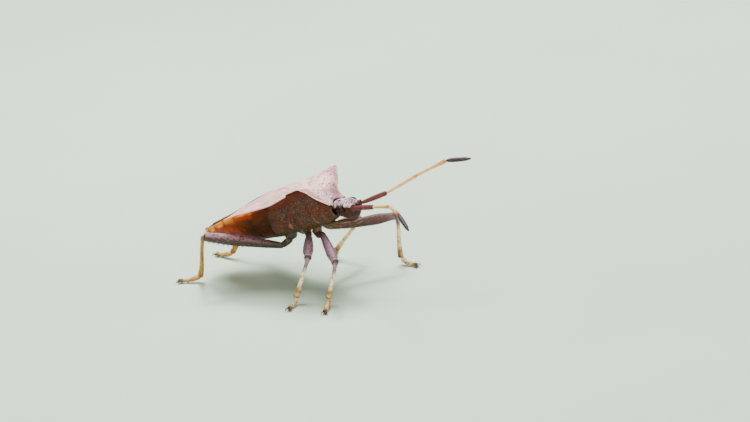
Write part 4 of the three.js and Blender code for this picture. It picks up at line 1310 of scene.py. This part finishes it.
# Antennae: four joints each, posed by heading and rise.
def antenna(side):
    at = KNOB_END * [1, HAND[side], 1]
    limb = Limb()
    for i, (heading, rise) in enumerate(np.radians(ANTENNA_POSES[side])):
        level = math.cos(rise)
        along = np.array([level * math.cos(heading), level * math.sin(heading), math.sin(rise)])
        end = at + along * ANTENNA_LENGTHS[i]
        t, radius = capped(ANTENNA_SHAPES[i], 60, 0.03)
        speckled = 0.6 if i in (0, 3) else 0.25
        limb.add(over_floor(at + (end - at) * t[:, None]), radius, (i / 4, (i + 1) / 4), speckled)
        at = end
    nodes = [f"antenna_{side}_{i}" for i in (1, 2, 3, 4)]
    return on_floor(limb.skin(f"feeler_{side}", LIMB_PAINTED_SHADE), FEELER, "antenna_pale", *nodes)


# Bristles: a cone on each of many scattered points, leaning along the limb.
def bristle_tree(material):
    tree, given = new_tree("bristles", {
        "Per Square Metre": "Float", "Length": "Float", "Thickness": "Float",
        "Stand": "Float", "Seed": "Int"})
    points = node(tree, "GeometryNodeDistributePointsOnFaces", {
        "Mesh": given["Geometry"], "Density": given["Per Square Metre"], "Seed": given["Seed"]})
    lie = node(tree, "GeometryNodeInputNamedAttribute", {"Name": "lie"}, data_type="FLOAT_VECTOR").outputs[0]
    standing = {0: points.outputs["Normal"], "Scale": given["Stand"]}
    standing = node(tree, "ShaderNodeVectorMath", standing, operation="SCALE").outputs[0]
    leaning = node(tree, "ShaderNodeVectorMath", {0: standing, 1: lie}, operation="ADD").outputs[0]
    stray = {0: (-0.3, -0.3, -0.3), 1: (0.3, 0.3, 0.3), "Seed": given["Seed"]}
    stray = node(tree, "FunctionNodeRandomValue", stray, data_type="FLOAT_VECTOR").outputs[0]
    leaning = node(tree, "ShaderNodeVectorMath", {0: leaning, 1: stray}, operation="ADD").outputs[0]
    rotation = node(tree, "FunctionNodeAlignRotationToVector", {"Vector": leaning}, axis="Z").outputs[0]
    size = {2: 0.6, 3: 1.15, "Seed": given["Seed"]}
    size = node(tree, "FunctionNodeRandomValue", size, data_type="FLOAT").outputs[1]
    tall = node(tree, "ShaderNodeMath", {0: size, 1: given["Length"]}, operation="MULTIPLY").outputs[0]
    thick = given["Thickness"]
    scale = node(tree, "ShaderNodeCombineXYZ", {"X": thick, "Y": thick, "Z": tall}).outputs[0]
    cone = node(tree, "GeometryNodeMeshCone", {
        "Vertices": CONE_SIDES, "Side Segments": 2, "Radius Top": 0.04, "Radius Bottom": 0.5, "Depth": 1.0})
    spread = node(tree, "GeometryNodeInstanceOnPoints", {
        "Points": points.outputs["Points"], "Instance": cone.outputs["Mesh"],
        "Rotation": rotation, "Scale": scale})
    return close_tree(tree, spread.outputs[0], material)


def bristles(name, bases, tree, per_mm2, length, thickness, stand, seed):
    """Grows bristles on finished pieces and keeps them as one plain mesh with its own bake map."""
    bodies, places = [], []
    for i, base in enumerate(bases):
        skin = base.data
        made = grown(skin.copy(), tree, {
            "Per Square Metre": per_mm2 / MM**2, "Length": length * MM, "Thickness": thickness * MM,
            "Stand": stand, "Seed": seed + i})
        points = coordinates(made)
        bodies.append((points, [tuple(face.vertices) for face in made.polygons]))
        roots = points.reshape(-1, CONE_POINTS, 3).mean(axis=1)
        skin_tree = tree_of(coordinates(skin))
        nearest = [skin_tree.find(root)[1] for root in roots]
        reach, around = (numbers(skin.attributes[mask].data, "value", 1) for mask in ("reach", "round"))
        places.append(np.concatenate([reach[nearest], (i + around[nearest]) / len(bases)], axis=1))
    mesh = mesh_of(name, together(bodies))
    corners = np.empty(len(mesh.loops), int)
    mesh.loops.foreach_get("vertex_index", corners)
    inside = corners % CONE_POINTS
    patch = np.stack([inside % CONE_SIDES, inside // CONE_SIDES], axis=-1) / CONE_SIDES * BAKE_PATCH
    layer = mesh.uv_layers.new(name="OFBake")
    spots = np.concatenate(places)[corners // CONE_POINTS] + patch
    layer.data.foreach_set("uv", np.clip(spots, 0, 1).ravel())
    return dressed(mesh, SETAE)


pronotum()
scutellum()
corium("left")
corium("right")
membrane()
abdomen()
thorax()
head()
facets = facet_tree(EYE)
for side in HAND:
    compound_eye(side, facets)
ocelli()
beak()
legs = [leg(name) for name in LEGS]
claws()
feelers = [antenna(side) for side in HAND]
down = bristle_tree(SETAE)
bristles("leg_bristles", legs, down, per_mm2=28, length=0.15, thickness=0.017, stand=0.75, seed=21)
bristles("feeler_bristles", feelers, down, per_mm2=60, length=0.08, thickness=0.012,
         stand=0.7, seed=41)


# Studio: pale floor, soft light from above and the photo's camera, rolled as the photo is.
def stage_floor():
    material = new_material("pale_floor_paint")
    color = painted(material, pattern(material, 40, 0.3, 0.7), ("#b2ccb8", "#b9d2bf"))
    surface(material, color, 0.85, ior=1.5)
    mesh = bpy.data.meshes.new("studio_floor")
    corners = [(x * FLOOR_REACH, y * FLOOR_REACH, 0) for x, y in ((-1, -1), (1, -1), (1, 1), (-1, 1))]
    mesh.from_pydata(corners, [], [(0, 1, 2, 3)])
    mesh.materials.append(material)
    object_of(mesh)


def area_light(name, place_mm, size_mm, power, code):
    """A round lamp that looks at the middle of the animal."""
    light = bpy.data.lights.new(name, "AREA")
    light.shape = "DISK"
    light.size = size_mm * MM
    light.energy = power
    light.color = linear(code)[:3]
    lamp = object_of(light)
    lamp.location = Vector(place_mm) * MM
    aim = Vector((0, 0, BODY_MIDDLE)) * MM - lamp.location
    lamp.rotation_euler = aim.to_track_quat("-Z", "Y").to_euler()


def photo_camera():
    camera = bpy.data.cameras.new("photo_camera")
    camera.sensor_width = 36
    camera.lens = CAMERA_LENS
    camera.clip_start = 0.01
    camera.clip_end = 20
    made = object_of(camera)
    place = Matrix.Translation((CAMERA_PLACE + SHIFT) * MM)
    made.matrix_world = place @ Matrix(CAMERA_AXES).transposed().to_4x4()
    bpy.context.scene.camera = made


def studio_air(code, strength):
    world = bpy.data.worlds.new("studio_air")
    world.use_nodes = True
    glow = world.node_tree.nodes["Background"].inputs
    glow["Color"].default_value = linear(code)
    glow["Strength"].default_value = strength
    bpy.context.scene.world = world


stage_floor()
photo_camera()
area_light("sky_panel", (-30, 40, 160), 140, 0.7, "#fbfbf8")
area_light("key_lamp", (-40, 70, 170), 40, 0.3, "#fff8ee")
area_light("front_fill", (140, -140, 60), 100, 0.56, "#fff0e0")
studio_air("#dfe9e3", 0.24)
